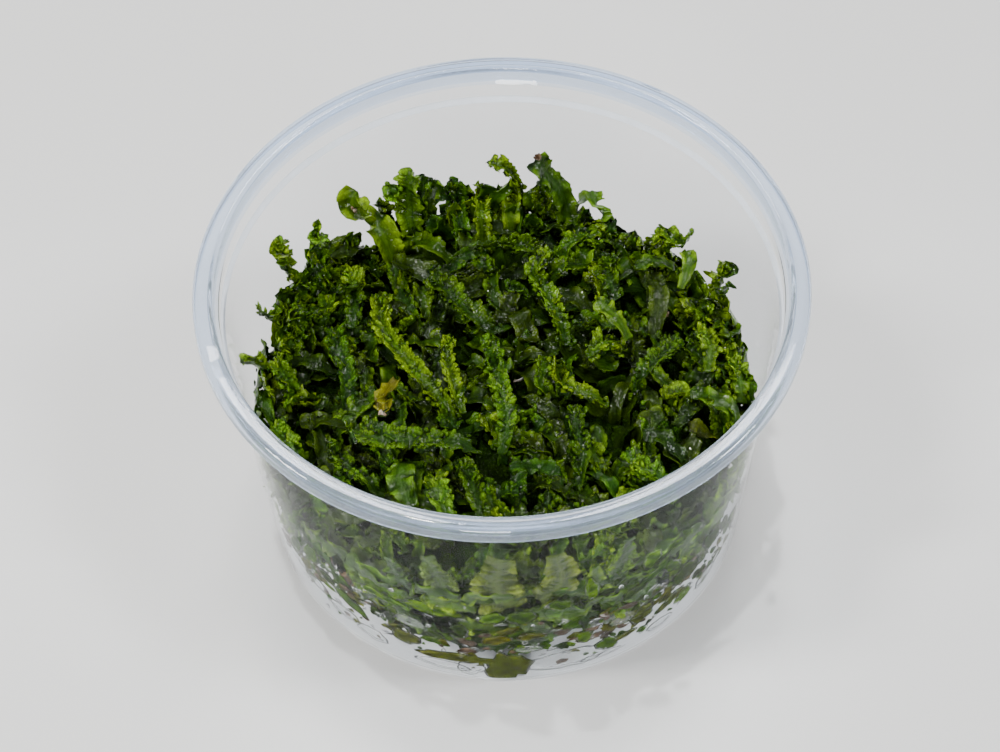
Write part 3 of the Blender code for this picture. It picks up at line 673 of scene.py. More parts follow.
def beyondWall(x, y, z, keepOff):
    return math.hypot(*seenAt(x, y, z)) - (wallRadius(z) - keepOff)


def insideWall(x, y, z, keepOff):  # what is seen well beyond the far wall stands up along it
    if beyondWall(x, y, z, keepOff) > laying["standsFrom"]:
        while beyondWall(x, y, z, keepOff) > laying["stillBeyond"] and z < laying["highest"]:
            z += laying["rise"]
    px, py = seenAt(x, y, z)
    inward = min(1.0, (wallRadius(z) - keepOff) / max(math.hypot(px, py), 1.0))
    return px * inward, py * inward, z


def lay(look, room):
    seen = smoothPath(look["points"], laying["step"])
    body = laying["thickness"] / 2 + laying["crispHeight"] * look["crisp"]
    spread = look["width"] / 2 * (1 + laying["crispSpread"])
    keepOff = spread + laying["wallAir"]
    needed = np.full(len(seen), heap["edge"])
    for _ in range(4):
        needed = np.array([heapHeight(*seenAt(a, b, c)) for (a, b), c in zip(seen, needed)]) + body
    for _ in range(10):
        eased = easedOver(needed, laying["reach"])
        line = np.array([insideWall(a, b, c, keepOff) for (a, b), c in zip(seen, eased)])
        free = [room.lowestFree(a, b, spread + laying["sideAir"], body + laying["gap"], c) for a, b, c in line]
        needed = np.where(np.array(free) > eased + 0.01, free, needed)
    line[:, 2] = np.maximum(easedOver(needed, laying["reach"]), line[:, 2])
    steps = np.abs(np.gradient(line[:, 2]))
    for (a, b, c), rise in zip(line, steps):
        room.take(a, b, spread + laying["gap"], c - body - rise, c + body + rise)
    return line


def rooted(line, tip):  # a tip that stands at the far wall: its base runs on down into the heap
    line = line[::-1] if tip == "start" else line
    away = line[0] - line[min(4, len(line) - 1)]
    share = np.linspace(1, 0, 12, endpoint=False)[:, None]
    inward = unit(-line[0] * (1, 1, 0))
    base = line[0] + share * 2.0 * unit(away * (1, 1, 0)) + share**1.3 * (inward * 2.5 + np.array([0, 0, -8.5]))
    line = np.vstack([base, line])
    return line[::-1] if tip == "start" else line


def thallus(width, tone, crisp, points, tip="start", paint=None):
    return {"width": width, "tone": tone, "crisp": crisp, "points": points, "tip": tip, "paint": paint or tone}


regions = {
    "shaded": [  # the lowest ones: broad, smooth and dark
        thallus(7.0, "shaded", 0.2, [(-35, 31), (-31.5, 34), (-27.5, 33.5)]),
        thallus(5.0, "shaded", 0.1, [(-22, 29), (-18, 27), (-14, 25.5), (-8, 25)]),
        thallus(4.6, "mature", 0.3, [(-18, 34.5), (-14, 33.5), (-10, 31)]),
        thallus(4.5, "shaded", 0.1, [(-6, 36), (0, 38), (5, 37.5)]),
        thallus(4.5, "shaded", 0.2, [(-43, 5), (-38, 4), (-33, 2)]),
        thallus(5.0, "shaded", 0.0, [(-40.5, -11.5), (-35, -11), (-29.5, -11)]),
        thallus(6.0, "shaded", 0.2, [(32.5, 21), (36, 22.5), (39.5, 24.5)]),
        thallus(4.0, "aged", 0.3, [(30.5, 24), (31.5, 19), (31, 13), (30, 9)], paint="shaded"),
        thallus(6.0, "shaded", 0.1, [(10, 19), (14, 18.5), (19, 15.5)]),
        thallus(5.0, "shaded", 0.2, [(27, -15), (31, -17.5), (35, -21)]),
    ],
    "left": [  # the left side
        thallus(3.6, "mature", 1.0, [(-34, 11.5), (-32.5, 6), (-31, 0), (-31, -6)]),
        thallus(4.6, "mature", 0.6, [(-29.5, 27.5), (-29.5, 24), (-32, 19.5)], paint="fresh"),
        thallus(5.2, "fresh", 0.4, [(-42, 20), (-44.5, 14.5), (-46, 9.5)]),
        thallus(3.4, "fresh", 1.0, [(-45, 4), (-43, 0), (-41.5, -4.5)]),
        thallus(3.0, "fresh", 0.3, [(-48.5, -3), (-47.5, -6), (-46, -9.5)]),
        thallus(4.2, "fresh", 1.0, [(-45, -12.5), (-42.5, -16), (-39.5, -19.5)]),
        thallus(3.6, "mature", 1.0, [(-34.5, -17.5), (-32, -21), (-28, -25), (-24, -28.5)]),
        thallus(3.6, "mature", 1.0, [(-37.5, 38), (-36.5, 34), (-36.5, 29), (-36, 25)], paint="fresh"),
        thallus(3.2, "fresh", 1.0, [(-45.5, 35.5), (-43.5, 31), (-41.5, 27)]),
    ],
    "back": [  # the back, where tips stand up against the wall
        thallus(5.6, "fresh", 0.3, [(-24, 37), (-27, 40.5), (-29.5, 43), (-29, 48.5)], "end"),
        thallus(5.6, "fresh", 0.5, [(-18.5, 41), (-18.5, 46), (-17.5, 53.5)], "end"),
        thallus(3.6, "mature", 0.9, [(-8, 38.5), (-8.5, 43), (-9.7, 51)], "end"),
        thallus(3.8, "fresh", 0.2, [(2.2, 41), (2.4, 46), (2.2, 51)], "end"),
        thallus(3.2, "fresh", 0.7, [(-3.8, 41), (-3.6, 45), (-3.3, 50)], "end"),
        thallus(5.0, "mature", 0.3, [(13.5, 43), (12, 47.5), (9, 52), (7.8, 56.5)], "end"),
        thallus(3.4, "fresh", 1.0, [(20, 33), (17, 35), (13.5, 32)]),
        thallus(3.6, "fresh", 0.3, [(22, 40), (19.5, 43), (19, 47)], "end"),
    ],
    "right": [  # the right side
        thallus(4.0, "mature", 0.9, [(22, 28.5), (21.5, 24.5), (23, 19.5)]),
        thallus(3.6, "mature", 0.4, [(27, 25.5), (29, 27), (32, 28), (35, 28)]),
        thallus(4.4, "aged", 0.9, [(31.5, 33.5), (35, 33.5), (38, 34.5)], paint="fresh"),
        thallus(3.2, "fresh", 0.3, [(37, 30), (37.5, 26.5), (35.5, 22)]),
        thallus(4.4, "mature", 0.9, [(43, 19.5), (44, 23), (45.5, 26.5)], "end", paint="fresh"),
        thallus(4.8, "fresh", 0.4, [(42.5, 14.5), (44.5, 11.5), (46.5, 7.5)]),
        thallus(4.8, "fresh", 0.6, [(45, 1), (47, -3), (47, -7.5)]),
        thallus(3.6, "fresh", 0.6, [(40, 9), (41, 5), (40.5, 0.5)]),
        thallus(3.8, "mature", 0.0, [(36.5, -6), (40.5, -8), (44, -10.5), (45.5, -14)]),
    ],
    "front": [  # the front, behind the near rim
        thallus(6.0, "mature", 0.1, [(-20, -21.5), (-20.5, -26), (-18, -31.5)]),
        thallus(3.6, "mature", 0.9, [(-9, -22), (-7.5, -25), (-6, -30), (-5, -35)]),
        thallus(4.6, "fresh", 0.6, [(-14, -26), (-13, -30), (-11, -34.5)]),
        thallus(3.4, "mature", 1.0, [(13.5, -10), (14, -15), (15, -21), (14, -27)]),
        thallus(4.5, "fresh", 0.9, [(24.5, -24), (28, -25.5), (31.5, -25.5)]),
    ],
    "top": [  # the topmost ones, in the middle
        thallus(3.4, "mature", 1.0, [(-5, 34.5), (-1, 32.5), (3, 32.7), (7, 32)], "end"),
        thallus(3.6, "fresh", 1.0, [(10, 30.5), (6.5, 26), (9, 20.5), (11, 14), (12.5, 8)]),
        thallus(5.0, "mature", 0.9, [(-14, 24.5), (-11, 21), (-8, 17), (-5, 14), (-1.5, 11.5)]),
        thallus(3.8, "fresh", 1.0, [(-24.5, 19.5), (-24, 13), (-22, 8), (-18.5, 3), (-14, -4), (-10, -10)]),
        thallus(2.4, "fresh", 1.0, [(-11, 8.5), (-11, 4), (-10, -2), (-8, -8)]),
        thallus(4.0, "fresh", 1.0, [(-3, 7), (-2, 3), (-0.5, -4), (0.5, -13), (-1, -18.5)]),
        thallus(3.2, "fresh", 1.0, [(10.5, 2.5), (11, -2.5), (15, -5.5), (20.5, -7)]),
        thallus(5.0, "fresh", 1.0, [(16.5, 5.5), (20, 6.5), (24, 5)], "end"),
        thallus(3.8, "mature", 1.0, [(34.5, 5.5), (31, 3), (28, 0), (25.5, -3.5)]),
        thallus(3.6, "fresh", 0.3, [(19, 18), (21, 15), (23, 12.5), (25, 9.5)]),
        thallus(5.6, "mature", 0.7, [(-27.5, -14), (-23, -15.5), (-17, -16), (-10, -16.5), (-5.5, -17)]),
        thallus(3.4, "aged", 0.2, [(-21, -1), (-23.5, -5), (-24, -9.5)], "end", paint="ochre"),
        thallus(3.8, "mature", 0.3, [(0.5, -23.2), (3, -23), (6.5, -23.7), (10.5, -22.5)]),
    ],
}
thalli = {f"thallus_{region}_{number:02d}": look
          for region, looks in regions.items() for number, look in enumerate(looks, 1)}
yellowed = {"thallus_left_03": 1.0, "thallus_back_01": 0.95, "thallus_top_04": 0.85, "thallus_right_05": 0.9}
shaped = {"thallus_top_12": {"twist": 0.05, "curl": 0.5, "dive": 0}, "thallus_back_01": {"twist": 0.1, "curl": 0.7}}
frayed = {"thallus_top_12": ("pale", 0.97), "thallus_back_06": ("dead", 0.97), "thallus_back_01": ("pale", 0.78)}


forks = {
    "tipTurns": (-1.0, -0.45, 0.5, 1.05),  # radians from the heading
    "tipAt": (0.2, 0.6),  # how far behind the tip, in widths
    "tipLength": (0.35, 0.6),  # in widths, as below
    "tipWidth": 0.5,
    "apart": 4.2,
    "turn": (0.6, 1.1),
    "length": (0.5, 0.85),
    "width": 0.52,
}


def makeThalli():
    room, faces = Room(), 0
    for number, (name, look) in enumerate(thalli.items()):
        rng = np.random.default_rng(100 + number)
        width, crisp, fromStart = look["width"], look["crisp"], look["tip"] == "start"
        line = lay(look, room)
        if "back" in name:
            line = rooted(line, look["tip"])
        main = ribbon(line, width, look["paint"], crisp, rng, look["tip"], **{"dive": 2.4, **shaped.get(name, {})})
        main["values"]["tint"][:] = yellowed.get(name, main["values"]["tint"][0])
        parts = [main]
        for turn in forks["tipTurns"] if crisp > 0.5 else ():
            at = rng.uniform(*forks["tipAt"]) * width / (0.5 * len(line))
            at, turn = (at, math.pi - turn) if fromStart else (1 - at, turn)
            length = width * rng.uniform(*forks["tipLength"])
            parts.append(sideLobe(main, at, turn, length, width * forks["tipWidth"], look["paint"], 1.0, rng))
        for at in np.arange(0.12, 0.85, forks["apart"] / max(8.0, len(line) * 0.5)) if crisp > 0.5 else ():
            turn = rng.choice([-1, 1]) * rng.uniform(*forks["turn"])
            turn = math.pi - turn if fromStart else turn
            length = width * rng.uniform(*forks["length"])
            at = at + rng.uniform(-0.04, 0.04)
            parts.append(sideLobe(main, at, turn, length, width * forks["width"], look["paint"], 1.0, rng))
        if crisp > 0.55:
            parts.append(leaflets(main, width, rng))
        tone, at = frayed.get(name, (None, 0))
        for turn in (-0.6, 0.0, 0.6) if tone else ():  # small torn or dying tips
            parts.append(sideLobe(main, at, turn, rng.uniform(0.9, 1.6), 0.7, tone, 0.2, rng))
        made = makeObject(name.replace("_", ""), parts, finishList, name)
        faces += len(made.data.polygons)
    print("single thalli:", len(thalli), "with", faces, "faces")


makeThalli()


strands = {  # (width, tone, crisp, points) of more that show between them
    "back": [
        (3.0, "fresh", 1.0, [(-23.7, 40.5), (-25.3, 45.5)]),
        (4.2, "fresh", 0.5, [(-14.5, 46), (-13, 49), (-12.8, 51.6)]),
        (4.2, "fresh", 0.6, [(-19.5, 44), (-21.8, 47.5), (-21.4, 50.5)]),
        (3.6, "fresh", 0.8, [(-16, 47), (-15.2, 52.6)]),
        (3.5, "mature", 0.1, [(-15, 45.5), (-12, 47), (-8.5, 51.5)]),
        (3.0, "fresh", 1.0, [(3.1, 51.3), (1.8, 53.5), (0, 54.6), (-2.3, 55.4)]),
        (3.5, "mature", 1.0, [(9.6, 42), (9.2, 46.3), (9.1, 50)]),
        (4.0, "fresh", 0.5, [(14, 44), (12.2, 45.7), (10.8, 50.6)]),
        (4.0, "mature", 0.1, [(2.7, 39.3), (2.8, 44)]),
        (3.8, "mature", 0.1, [(15.2, 37.5), (16.2, 43.3), (18.6, 46.4)]),
        (3.5, "fresh", 0.5, [(17, 30), (17.7, 32.5), (19.1, 33.6)]),
    ],
    "right": [
        (2.5, "mature", 1.0, [(22.3, 25.9), (25, 24.7)]), (2.5, "fresh", 0.1, [(38.4, 33), (39.6, 37.9)]),
        (3.0, "fresh", 1.0, [(44.2, 17.5), (45.4, 20.7)]),
        (5.5, "fresh", 0.2, [(46.5, 2.6), (46.3, 6.5), (47.5, 11)]),
        (3.0, "mature", 0.8, [(38.7, 12.5), (38.5, 16.5)]), (3.5, "mature", 0.5, [(33, 19.5), (35.5, 14.5)]),
        (3.5, "mature", 0.6, [(15.1, 11), (17.6, 12.7), (20.3, 12.6)]), (3.5, "fresh", 1.0, [(20, 6.5), (18.5, 2.7)]),
        (3.5, "mature", 1.0, [(26.3, -2.5), (26.2, -7)]),
        (4.0, "mature", 0.8, [(36.7, 4.9), (38.8, 2.6), (40.9, 0.5), (43, -1)]),
        (4.0, "fresh", 0.9, [(31.5, -8), (33.4, -6.8), (35.3, -6.2), (35.7, -9)]),
        (3.5, "fresh", 1.0, [(33.4, -6.8), (32.7, -10.6)]),
        (3.0, "shaded", 0.0, [(28.9, -5.4), (29, -8.1), (30.3, -11.2)]),
        (5.5, "shaded", 0.1, [(30.6, -20.7), (34.8, -22)]), (4.0, "mature", 1.0, [(27.7, -18.2), (27.7, -21.5)]),
        (4.5, "fresh", 0.9, [(23.2, -28), (27, -27.8)]), (5.0, "aged", 0.4, [(36, -14.5), (41, -15.5)]),
    ],
    "middle": [
        (2.5, "shaded", 0.9, [(-13.6, 6), (-12.7, 2.2), (-12.2, -1.3)]),
        (3.5, "fresh", 1.0, [(-4.1, -10.5), (-2.5, -12.9), (-1, -15.2)]),
        (4.0, "mature", 0.9, [(-15.6, 22.8), (-16.1, 19.8), (-15.3, 16)]),
        (2.8, "fresh", 1.0, [(7.8, 3.3), (8, -0.2), (7.1, -3), (8.4, -4.7), (10.8, -6.1)]),
        (4.0, "mature", 1.0, [(-29.8, -10.8), (-28.5, -13.4)]),
        (4.0, "shaded", 0.7, [(-14.6, -22.3), (-11.7, -24.6), (-10.3, -27)]),
        (4.0, "mature", 1.0, [(8.2, -28.7), (7.6, -32)]),
        (4.0, "fresh", 1.0, [(-3.6, -32), (-3.6, -35)]), (4.0, "fresh", 1.0, [(1.6, -32.5), (1.6, -35.5)]),
        (5.0, "shaded", 0.1, [(-18.7, 29.2), (-16.8, 30.2), (-11.4, 29.3), (-10.4, 25.8)]),
        (4.0, "mature", 0.7, [(-4.2, 29.7), (-3.7, 26.2), (-3.8, 23)]),
        (4.0, "shaded", 0.3, [(-6.6, 36), (-6.8, 29)]),
        (4.0, "mature", 0.6, [(-23.5, 39), (-20, 37.5), (-17, 36)]),
        (2.5, "mature", 0.8, [(1, 21.3), (3.7, 21.9), (5.6, 21.3)]),
        (3.5, "mature", 0.8, [(16, -18), (17.2, -21.3), (18.5, -24.5)]),
        (4.0, "mature", 0.3, [(17.7, -13.5), (18.6, -18)]),
    ],
    "left": [
        (6.0, "shaded", 0.3, [(-33.4, 28.2), (-32.8, 24), (-32.5, 20.2)]),
        (4.0, "fresh", 0.6, [(-27.4, 30.2), (-24.7, 27)]),
        (3.5, "mature", 0.8, [(-27.6, 2.2), (-27.4, -2.4)]), (2.0, "fresh", 0.3, [(-40.7, 5.5), (-41.1, 1.4)]),
        (5.0, "shaded", 0.2, [(-45.8, 8), (-42.5, 7.5)]), (6.0, "mature", 0.1, [(-18.3, -21.3), (-18.3, -28)]),
        (4.0, "mature", 0.9, [(-24.6, -22), (-22.5, -22.4)]), (4.0, "fresh", 0.7, [(-50.5, 5.8), (-48.6, 2.4)]),
    ],
    "leftBank": [
        (3.2, "fresh", 1.0, [(-44, 33), (-43.5, 28), (-41, 22)]), (4.0, "fresh", 0.5, [(-44, 17), (-46, 20.3)]),
        (3.6, "fresh", 0.7, [(-33, 19), (-37, 16.5), (-41.5, 15.5)]),
        (3.0, "fresh", 0.8, [(-48.5, 17.5), (-46, 13.5)]),
        (3.4, "fresh", 1.0, [(-37, 30), (-38.5, 25), (-39.5, 20)]),
        (3.4, "fresh", 0.8, [(-33.5, 24), (-35, 20), (-36, 15)]),
        (3.6, "mature", 1.0, [(-30.5, 23), (-29.5, 19), (-30, 14)]),
    ],
    "fragments": [  # a pale hair, pale specks and a brown tip
        (0.3, "pale", 0.0, [(1.9, -1.9), (3.0, -0.9), (4.1, 0.8)]), (0.9, "pale", 0.3, [(31.2, 16.0), (32.6, 17.2)]),
        (0.7, "pale", 0.3, [(33.0, 15.0), (33.5, 16.2)]), (1.3, "dead", 0.3, [(13.9, 43.6), (14.2, 45.6)]),
    ],
}
strandsAbove = {"leftBank": 5.0, "fragments": 2.6}  # how high they lie over the heap's own top, 1 mm for the others


def strandLine(width, points, above):  # along the line of sight onto the heap's top
    seen = smoothPath(points, 0.5)
    keepOff = width / 2 + laying["wallAir"]
    heights = np.full(len(seen), heap["edge"])
    for _ in range(6):
        heights = np.array([heapHeight(*seenAt(a, b, c)) for (a, b), c in zip(seen, heights)]) + above
    return np.array([insideWall(a, b, c, keepOff) for (a, b), c in zip(seen, easedOver(heights, 3))])


def makeStrands():
    rng, leafRng = np.random.default_rng(7), np.random.default_rng(8)
    for region, looks in strands.items():
        parts = []
        for width, tone, crisp, points in looks:
            line = strandLine(width, points, strandsAbove.get(region, 1.0))
            tip = "end" if region == "back" else "start"
            if region == "back":
                line = rooted(line, tip)
            step = 0.22 if crisp > 0.5 else 0.45
            parts.append(ribbon(line, width, tone, crisp, rng, tip, step=step, columns=9, dive=2.4))
            if crisp > 0.55:
                parts.append(leaflets(parts[-1], width, leafRng))
        title = "strands" + region[0].upper() + region[1:]
        made = makeObject(title, parts, finishList, "packed_thalli")
        print("strands", region, len(made.data.polygons), "faces")


makeStrands()


tangle = {  # the matted middle, dark with painted shade
    "inset": 3.4,  # how far it lies under the top
    "relief": 1.5,
    "cuts": 4,
    "lowest": 2.0,
}


def makeTangle():  # it shows only in the gaps, wearing the painted-shade greens
    import bmesh

    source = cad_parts["packed_thalli"].data
    shape = bmesh.new()
    shape.from_mesh(source)
    bmesh.ops.remove_doubles(shape, verts=shape.verts, dist=1e-6)
    bmesh.ops.subdivide_edges(shape, edges=shape.edges, cuts=tangle["cuts"], use_grid_fill=True)
    bmesh.ops.triangulate(shape, faces=shape.faces)
    shape.normal_update()
    p = np.array([v.co for v in shape.verts]) / mm
    normals = np.array([v.normal for v in shape.verts])
    swirl = np.sin(0.9 * p[:, 0] + 1.3 * np.sin(0.7 * p[:, 1] + 0.4 * p[:, 2]))
    cross = np.sin(1.1 * p[:, 1] + 1.5 * np.sin(0.6 * p[:, 0] - 0.5 * p[:, 2]) + 0.8 * p[:, 2])
    fine = np.sin(3.1 * p[:, 0] + 2 * swirl) * np.sin(2.9 * p[:, 1] - 2 * cross) * np.sin(3.0 * p[:, 2])
    push = -tangle["inset"] + tangle["relief"] * (np.abs(swirl) * np.abs(cross) - 0.3) + 0.35 * fine
    p = p + normals * push[:, None]
    p[:, 2] = np.maximum(p[:, 2], tangle["lowest"])
    for v, co in zip(shape.verts, p * mm):
        v.co = co
    mesh = bpy.data.meshes.new("packedTangle")
    shape.to_mesh(mesh)
    shape.free()
    same = np.ones(len(p))
    for key, level in {"edge": np.clip(np.abs(swirl), 0, 1), "crest": fine, "across": swirl, "run": p[:, 0],
                       "tint": 0.3 * same, "root": 0.5 * same, "knobs": 0.8 * same}.items():
        setValues(mesh, key, level)
    mesh.materials.append(finishes["paintedShade"])
    mesh.shade_smooth()
    placed("packedTangle", mesh, "packed_thalli")
    print("tangle:", len(mesh.polygons), "faces")


def pickTone(rng, fresh, mature, shaded, paintedShade, aged, dead):
    return str(rng.choice(toneNames[:6], p=(fresh, mature, shaded, paintedShade, aged, dead)))


def makeBatches(batches):
    for name, parts in batches.items():
        made = makeObject(name, parts, finishList, "packed_thalli")
        print(name, len(made.data.polygons), "faces")


topLayer = {
    "count": 310,
    "lowShare": 0.5,  # of them, these lie lower and show only in the gaps
    "width": (2.6, 4.8),
    "length": (9, 20),
    "bend": 0.09,
    "stray": 0.12,
    "lowLift": (-2.2, -1.0),
    "highLift": (-0.7, 0.7),
    "waves": 0.6,
    "dive": 3.0,
    "rise": (-0.5, 1.6),
    "crisp": [0.15, 0.6, 0.9, 1.0],
    # the low ones take mostly darker greens, near half of them the painted-shade set
    "lowTones": (0.0, 0.17, 0.38, 0.45, 0.0, 0.0),
    "highTones": (0.16, 0.48, 0.36, 0.0, 0.0, 0.0),
}


def makeTopLayer():
    rng, leafRng = np.random.default_rng(21), np.random.default_rng(22)
    batches = {"topLayerLow": [], "topLayerHigh": []}
    bend, stray = topLayer["bend"], topLayer["stray"]
    for number in range(topLayer["count"]):
        deep = number < topLayer["count"] * topLayer["lowShare"]
        batch = batches["topLayerLow" if deep else "topLayerHigh"]
        width, length = rng.uniform(*topLayer["width"]), rng.uniform(*topLayer["length"])
        keep = wallRadius(32) - width / 2 - 1.2
        radius, angle = (keep - 1) * math.sqrt(rng.uniform(0, 1)), rng.uniform(0, 2 * math.pi)
        heading, turn = rng.uniform(0, 2 * math.pi), rng.uniform(-bend, bend)
        point = np.array(onCircle(radius, angle, 0)[:2])
        line = []
        for _ in range(int(length)):
            line.append(point.copy())
            heading += turn + rng.uniform(-stray, stray)
            point = point + (math.cos(heading), math.sin(heading))
            if np.linalg.norm(point) > keep:
                point *= keep / np.linalg.norm(point)
                heading += 0.35
        line = np.array(line)
        share = np.linspace(0, 1, len(line))
        lift = rng.uniform(*topLayer["lowLift" if deep else "highLift"])
        waves = topLayer["waves"] * np.sin(share * rng.uniform(4, 9) + rng.uniform(0, 6))
        dive = -topLayer["dive"] * smoothStep(0.55, 1.0, share)
        rise = rng.uniform(*topLayer["rise"]) * smoothStep(0.35, 0.0, share)
        z = np.array([heapHeight(x, y) for x, y in line]) + lift + waves + dive + rise
        crisp = rng.choice(topLayer["crisp"])
        tone = pickTone(rng, *topLayer["lowTones" if deep else "highTones"])
        if crisp < 0.5 and not deep and tone != "shaded":  # the smooth ones are the darker ones
            tone = "mature" if tone == "fresh" else "shaded"
        part = ribbon(smoothPath(np.column_stack([line, z]), 0.5), width, tone, crisp, rng, dive=2.0,
                      step=0.7 if deep else 0.55 if crisp < 0.5 else 0.45, columns=5 if deep else 7,
                      twist=0.3 if crisp < 0.5 else 0.7)
        batch.append(part)
        if not deep and crisp > 0.5:
            batch.append(leaflets(part, width, leafRng, 2.8))
    makeBatches(batches)


def climbing(rng, angle, z, slope, steps, way, stray, radiusAt, heightAfter):
    # a line that wanders along the wall, and the angle where it ends
    line = []
    for i in range(steps):
        radius = radiusAt(angle, z, i)
        line.append(onCircle(radius, angle, z))
        slope += rng.normal(0, stray)
        angle += way * math.cos(slope) / radius
        z = heightAfter(z, math.sin(slope))
    return smoothPath(line, 0.5), angle


sideLayer = {
    "count": 210,
    "width": (2.6, 5.0),
    "length": (9, 22),
    "from": 3.5,
    "height": 28.5,
    "lowBelow": 18,
    "lowInset": (0.0, 2.2),
    "highInset": (-0.5, 0.7),
    "crisp": [0.1, 0.4, 0.8, 0.9],
    # a few of the low ones take the painted-shade set
    "lowTones": (0.12, 0.34, 0.26, 0.04, 0.16, 0.08),
    "highTones": (0.44, 0.46, 0.10, 0.0, 0.0, 0.0),
}


def makeSideLayer():
    rng = np.random.default_rng(33)
    batches = {"sideLayerFront": [], "sideLayerBack": []}
    for _ in range(sideLayer["count"]):
        width, length = rng.uniform(*sideLayer["width"]), rng.uniform(*sideLayer["length"])
        angle = rng.uniform(-math.pi, math.pi)
        z = sideLayer["from"] + sideLayer["height"] * rng.uniform(0, 1) ** 0.75
        level = "low" if z < sideLayer["lowBelow"] else "high"
        slope = rng.normal(0, 0.35)
        inset = rng.uniform(*sideLayer[level + "Inset"])
        line, angle = climbing(rng, angle, z, slope, int(length), 1, 0.12,
                               lambda angle, z, i: heapSide(angle, z) - inset - 0.3,
                               lambda z, rise: min(max(z + rise, 3.0), heap["edge"] + 3.5))
        tone = pickTone(rng, *sideLayer[level + "Tones"])
        crisp = rng.choice(sideLayer["crisp"])
        front = math.sin(angle) < 0
        part = ribbon(line, width, tone, crisp * 0.8, rng, step=0.62 if front else 0.8, columns=7 if front else 5,
                      flat=False, twist=0.5, curl=-0.2)
        batches["sideLayerFront" if front else "sideLayerBack"].append(part)
    makeBatches(batches)


wallLeaves = [  # (width, tone, crisp, [(degrees, height), ...]) the broad ones behind the front of the wall
    # the broadest ones are painted paler and greyer, a painted veil of hazy light
    (10.5, "paintedVeil", 0.6, [(-89.5, 27.5), (-92.5, 32), (-93, 37), (-91.5, 46)]),
    (8.0, "paintedVeil", 0.5, [(-83.5, 29.5), (-79.5, 33), (-78.5, 38), (-80, 46)]),
    (4.2, "fresh", 0.4, [(-68.5, 27), (-70.5, 32), (-71, 38)]),
    (5.5, "mature", 0.8, [(-66, 33), (-64, 38), (-63, 44)]),
    (6.0, "paintedVeil", 0.8, [(-104, 32), (-106, 37.5), (-108, 44)]),
    (5.0, "mature", 0.8, [(-113, 29), (-116, 34), (-117, 39)]),
]


def makeWallLeaves():
    rng = np.random.default_rng(71)
    parts = []
    for width, tone, crisp, points in wallLeaves:
        line = []
        for degrees, height in points:
            line.append(onCircle(wallRadius(height) - 1.5, math.radians(degrees), height))
        parts.append(ribbon(smoothPath(line, 0.5), width, tone, crisp, rng, step=0.32, columns=11, flat=False,
                            twist=0.1, curl=-0.15, dark=0.3))
    makeObject("wallLeaves", parts, finishList, "packed_thalli")
    print("leaves at the front wall:", len(parts))


rimLayer = {
    "count": 100,
    "width": (2.4, 4.2),
    "length": (7, 13),
    "drop": (-4.5, -1.5),  # from the heap's top
    "climb": (-15, 75),
    "inset": (0.3, 3.0),
    "crisp": [0.2, 0.7, 0.9, 1.0],
    "tones": (0.32, 0.50, 0.18, 0.0, 0.0, 0.0),
}


def makeRimLayer():  # the heap's upper edge round the wall, and the tips that stand up at the back
    rng = np.random.default_rng(45)
    batches = {"edgeLayerFront": [], "edgeLayerBack": []}
    for number in range(rimLayer["count"]):
        angle = 2 * math.pi * (number + rng.uniform(-0.5, 0.5)) / rimLayer["count"]
        behind = smoothStep(0.1, 0.75, math.sin(angle))
        width, length = rng.uniform(*rimLayer["width"]), rng.uniform(*rimLayer["length"])
        z = heapHeight(46 * math.cos(angle), 46 * math.sin(angle)) + rng.uniform(*rimLayer["drop"])
        climb = math.radians(rng.uniform(*rimLayer["climb"]) * (0.45 + 0.55 * behind))
        way = rng.choice([-1, 1])
        inset = rng.uniform(*rimLayer["inset"])
        line, angle = climbing(
            rng, angle, z, climb, int(length) + 1, way, 0.16,
            lambda angle, z, i: wallRadius(z) - 0.9 - width * 0.3 - inset - 0.15 * i * (1 - behind),
            lambda z, rise: min(z + max(rise, -0.6), 34.0 + 9.0 * behind))
        tone = pickTone(rng, *rimLayer["tones"])
        part = ribbon(line, width, tone, rng.choice(rimLayer["crisp"]), rng, "end", step=0.36, columns=7,
                      flat=False, twist=0.9, facing=-1, dark=0.4)
        batches["edgeLayerFront" if math.sin(angle) < 0 else "edgeLayerBack"].append(part)
    makeBatches(batches)


banks = [  # (degrees, half width in degrees, height above the heap, strands)
    (151, 10, 23.0, 44), (137, 11, 16.0, 22), (169, 10, 11.0, 14), (100, 24, 10.5, 34), (75, 16, 8.0, 16),
    (34, 15, 9.0, 30), (18, 10, 6.0, 10), (2, 12, 4.0, 8),
]


bank = {
    "width": (2.4, 4.4),
    "length": (8, 14),
    "highest": 48.0,
    "climb": (-10, 75),
    "outerFrom": 0.4,  # the ones further out than this are the fresher ones
    "crisp": [0.2, 0.7, 0.95, 1.0],
    "tones": (0.80, 0.20, 0.0, 0.0, 0.0, 0.0),
}


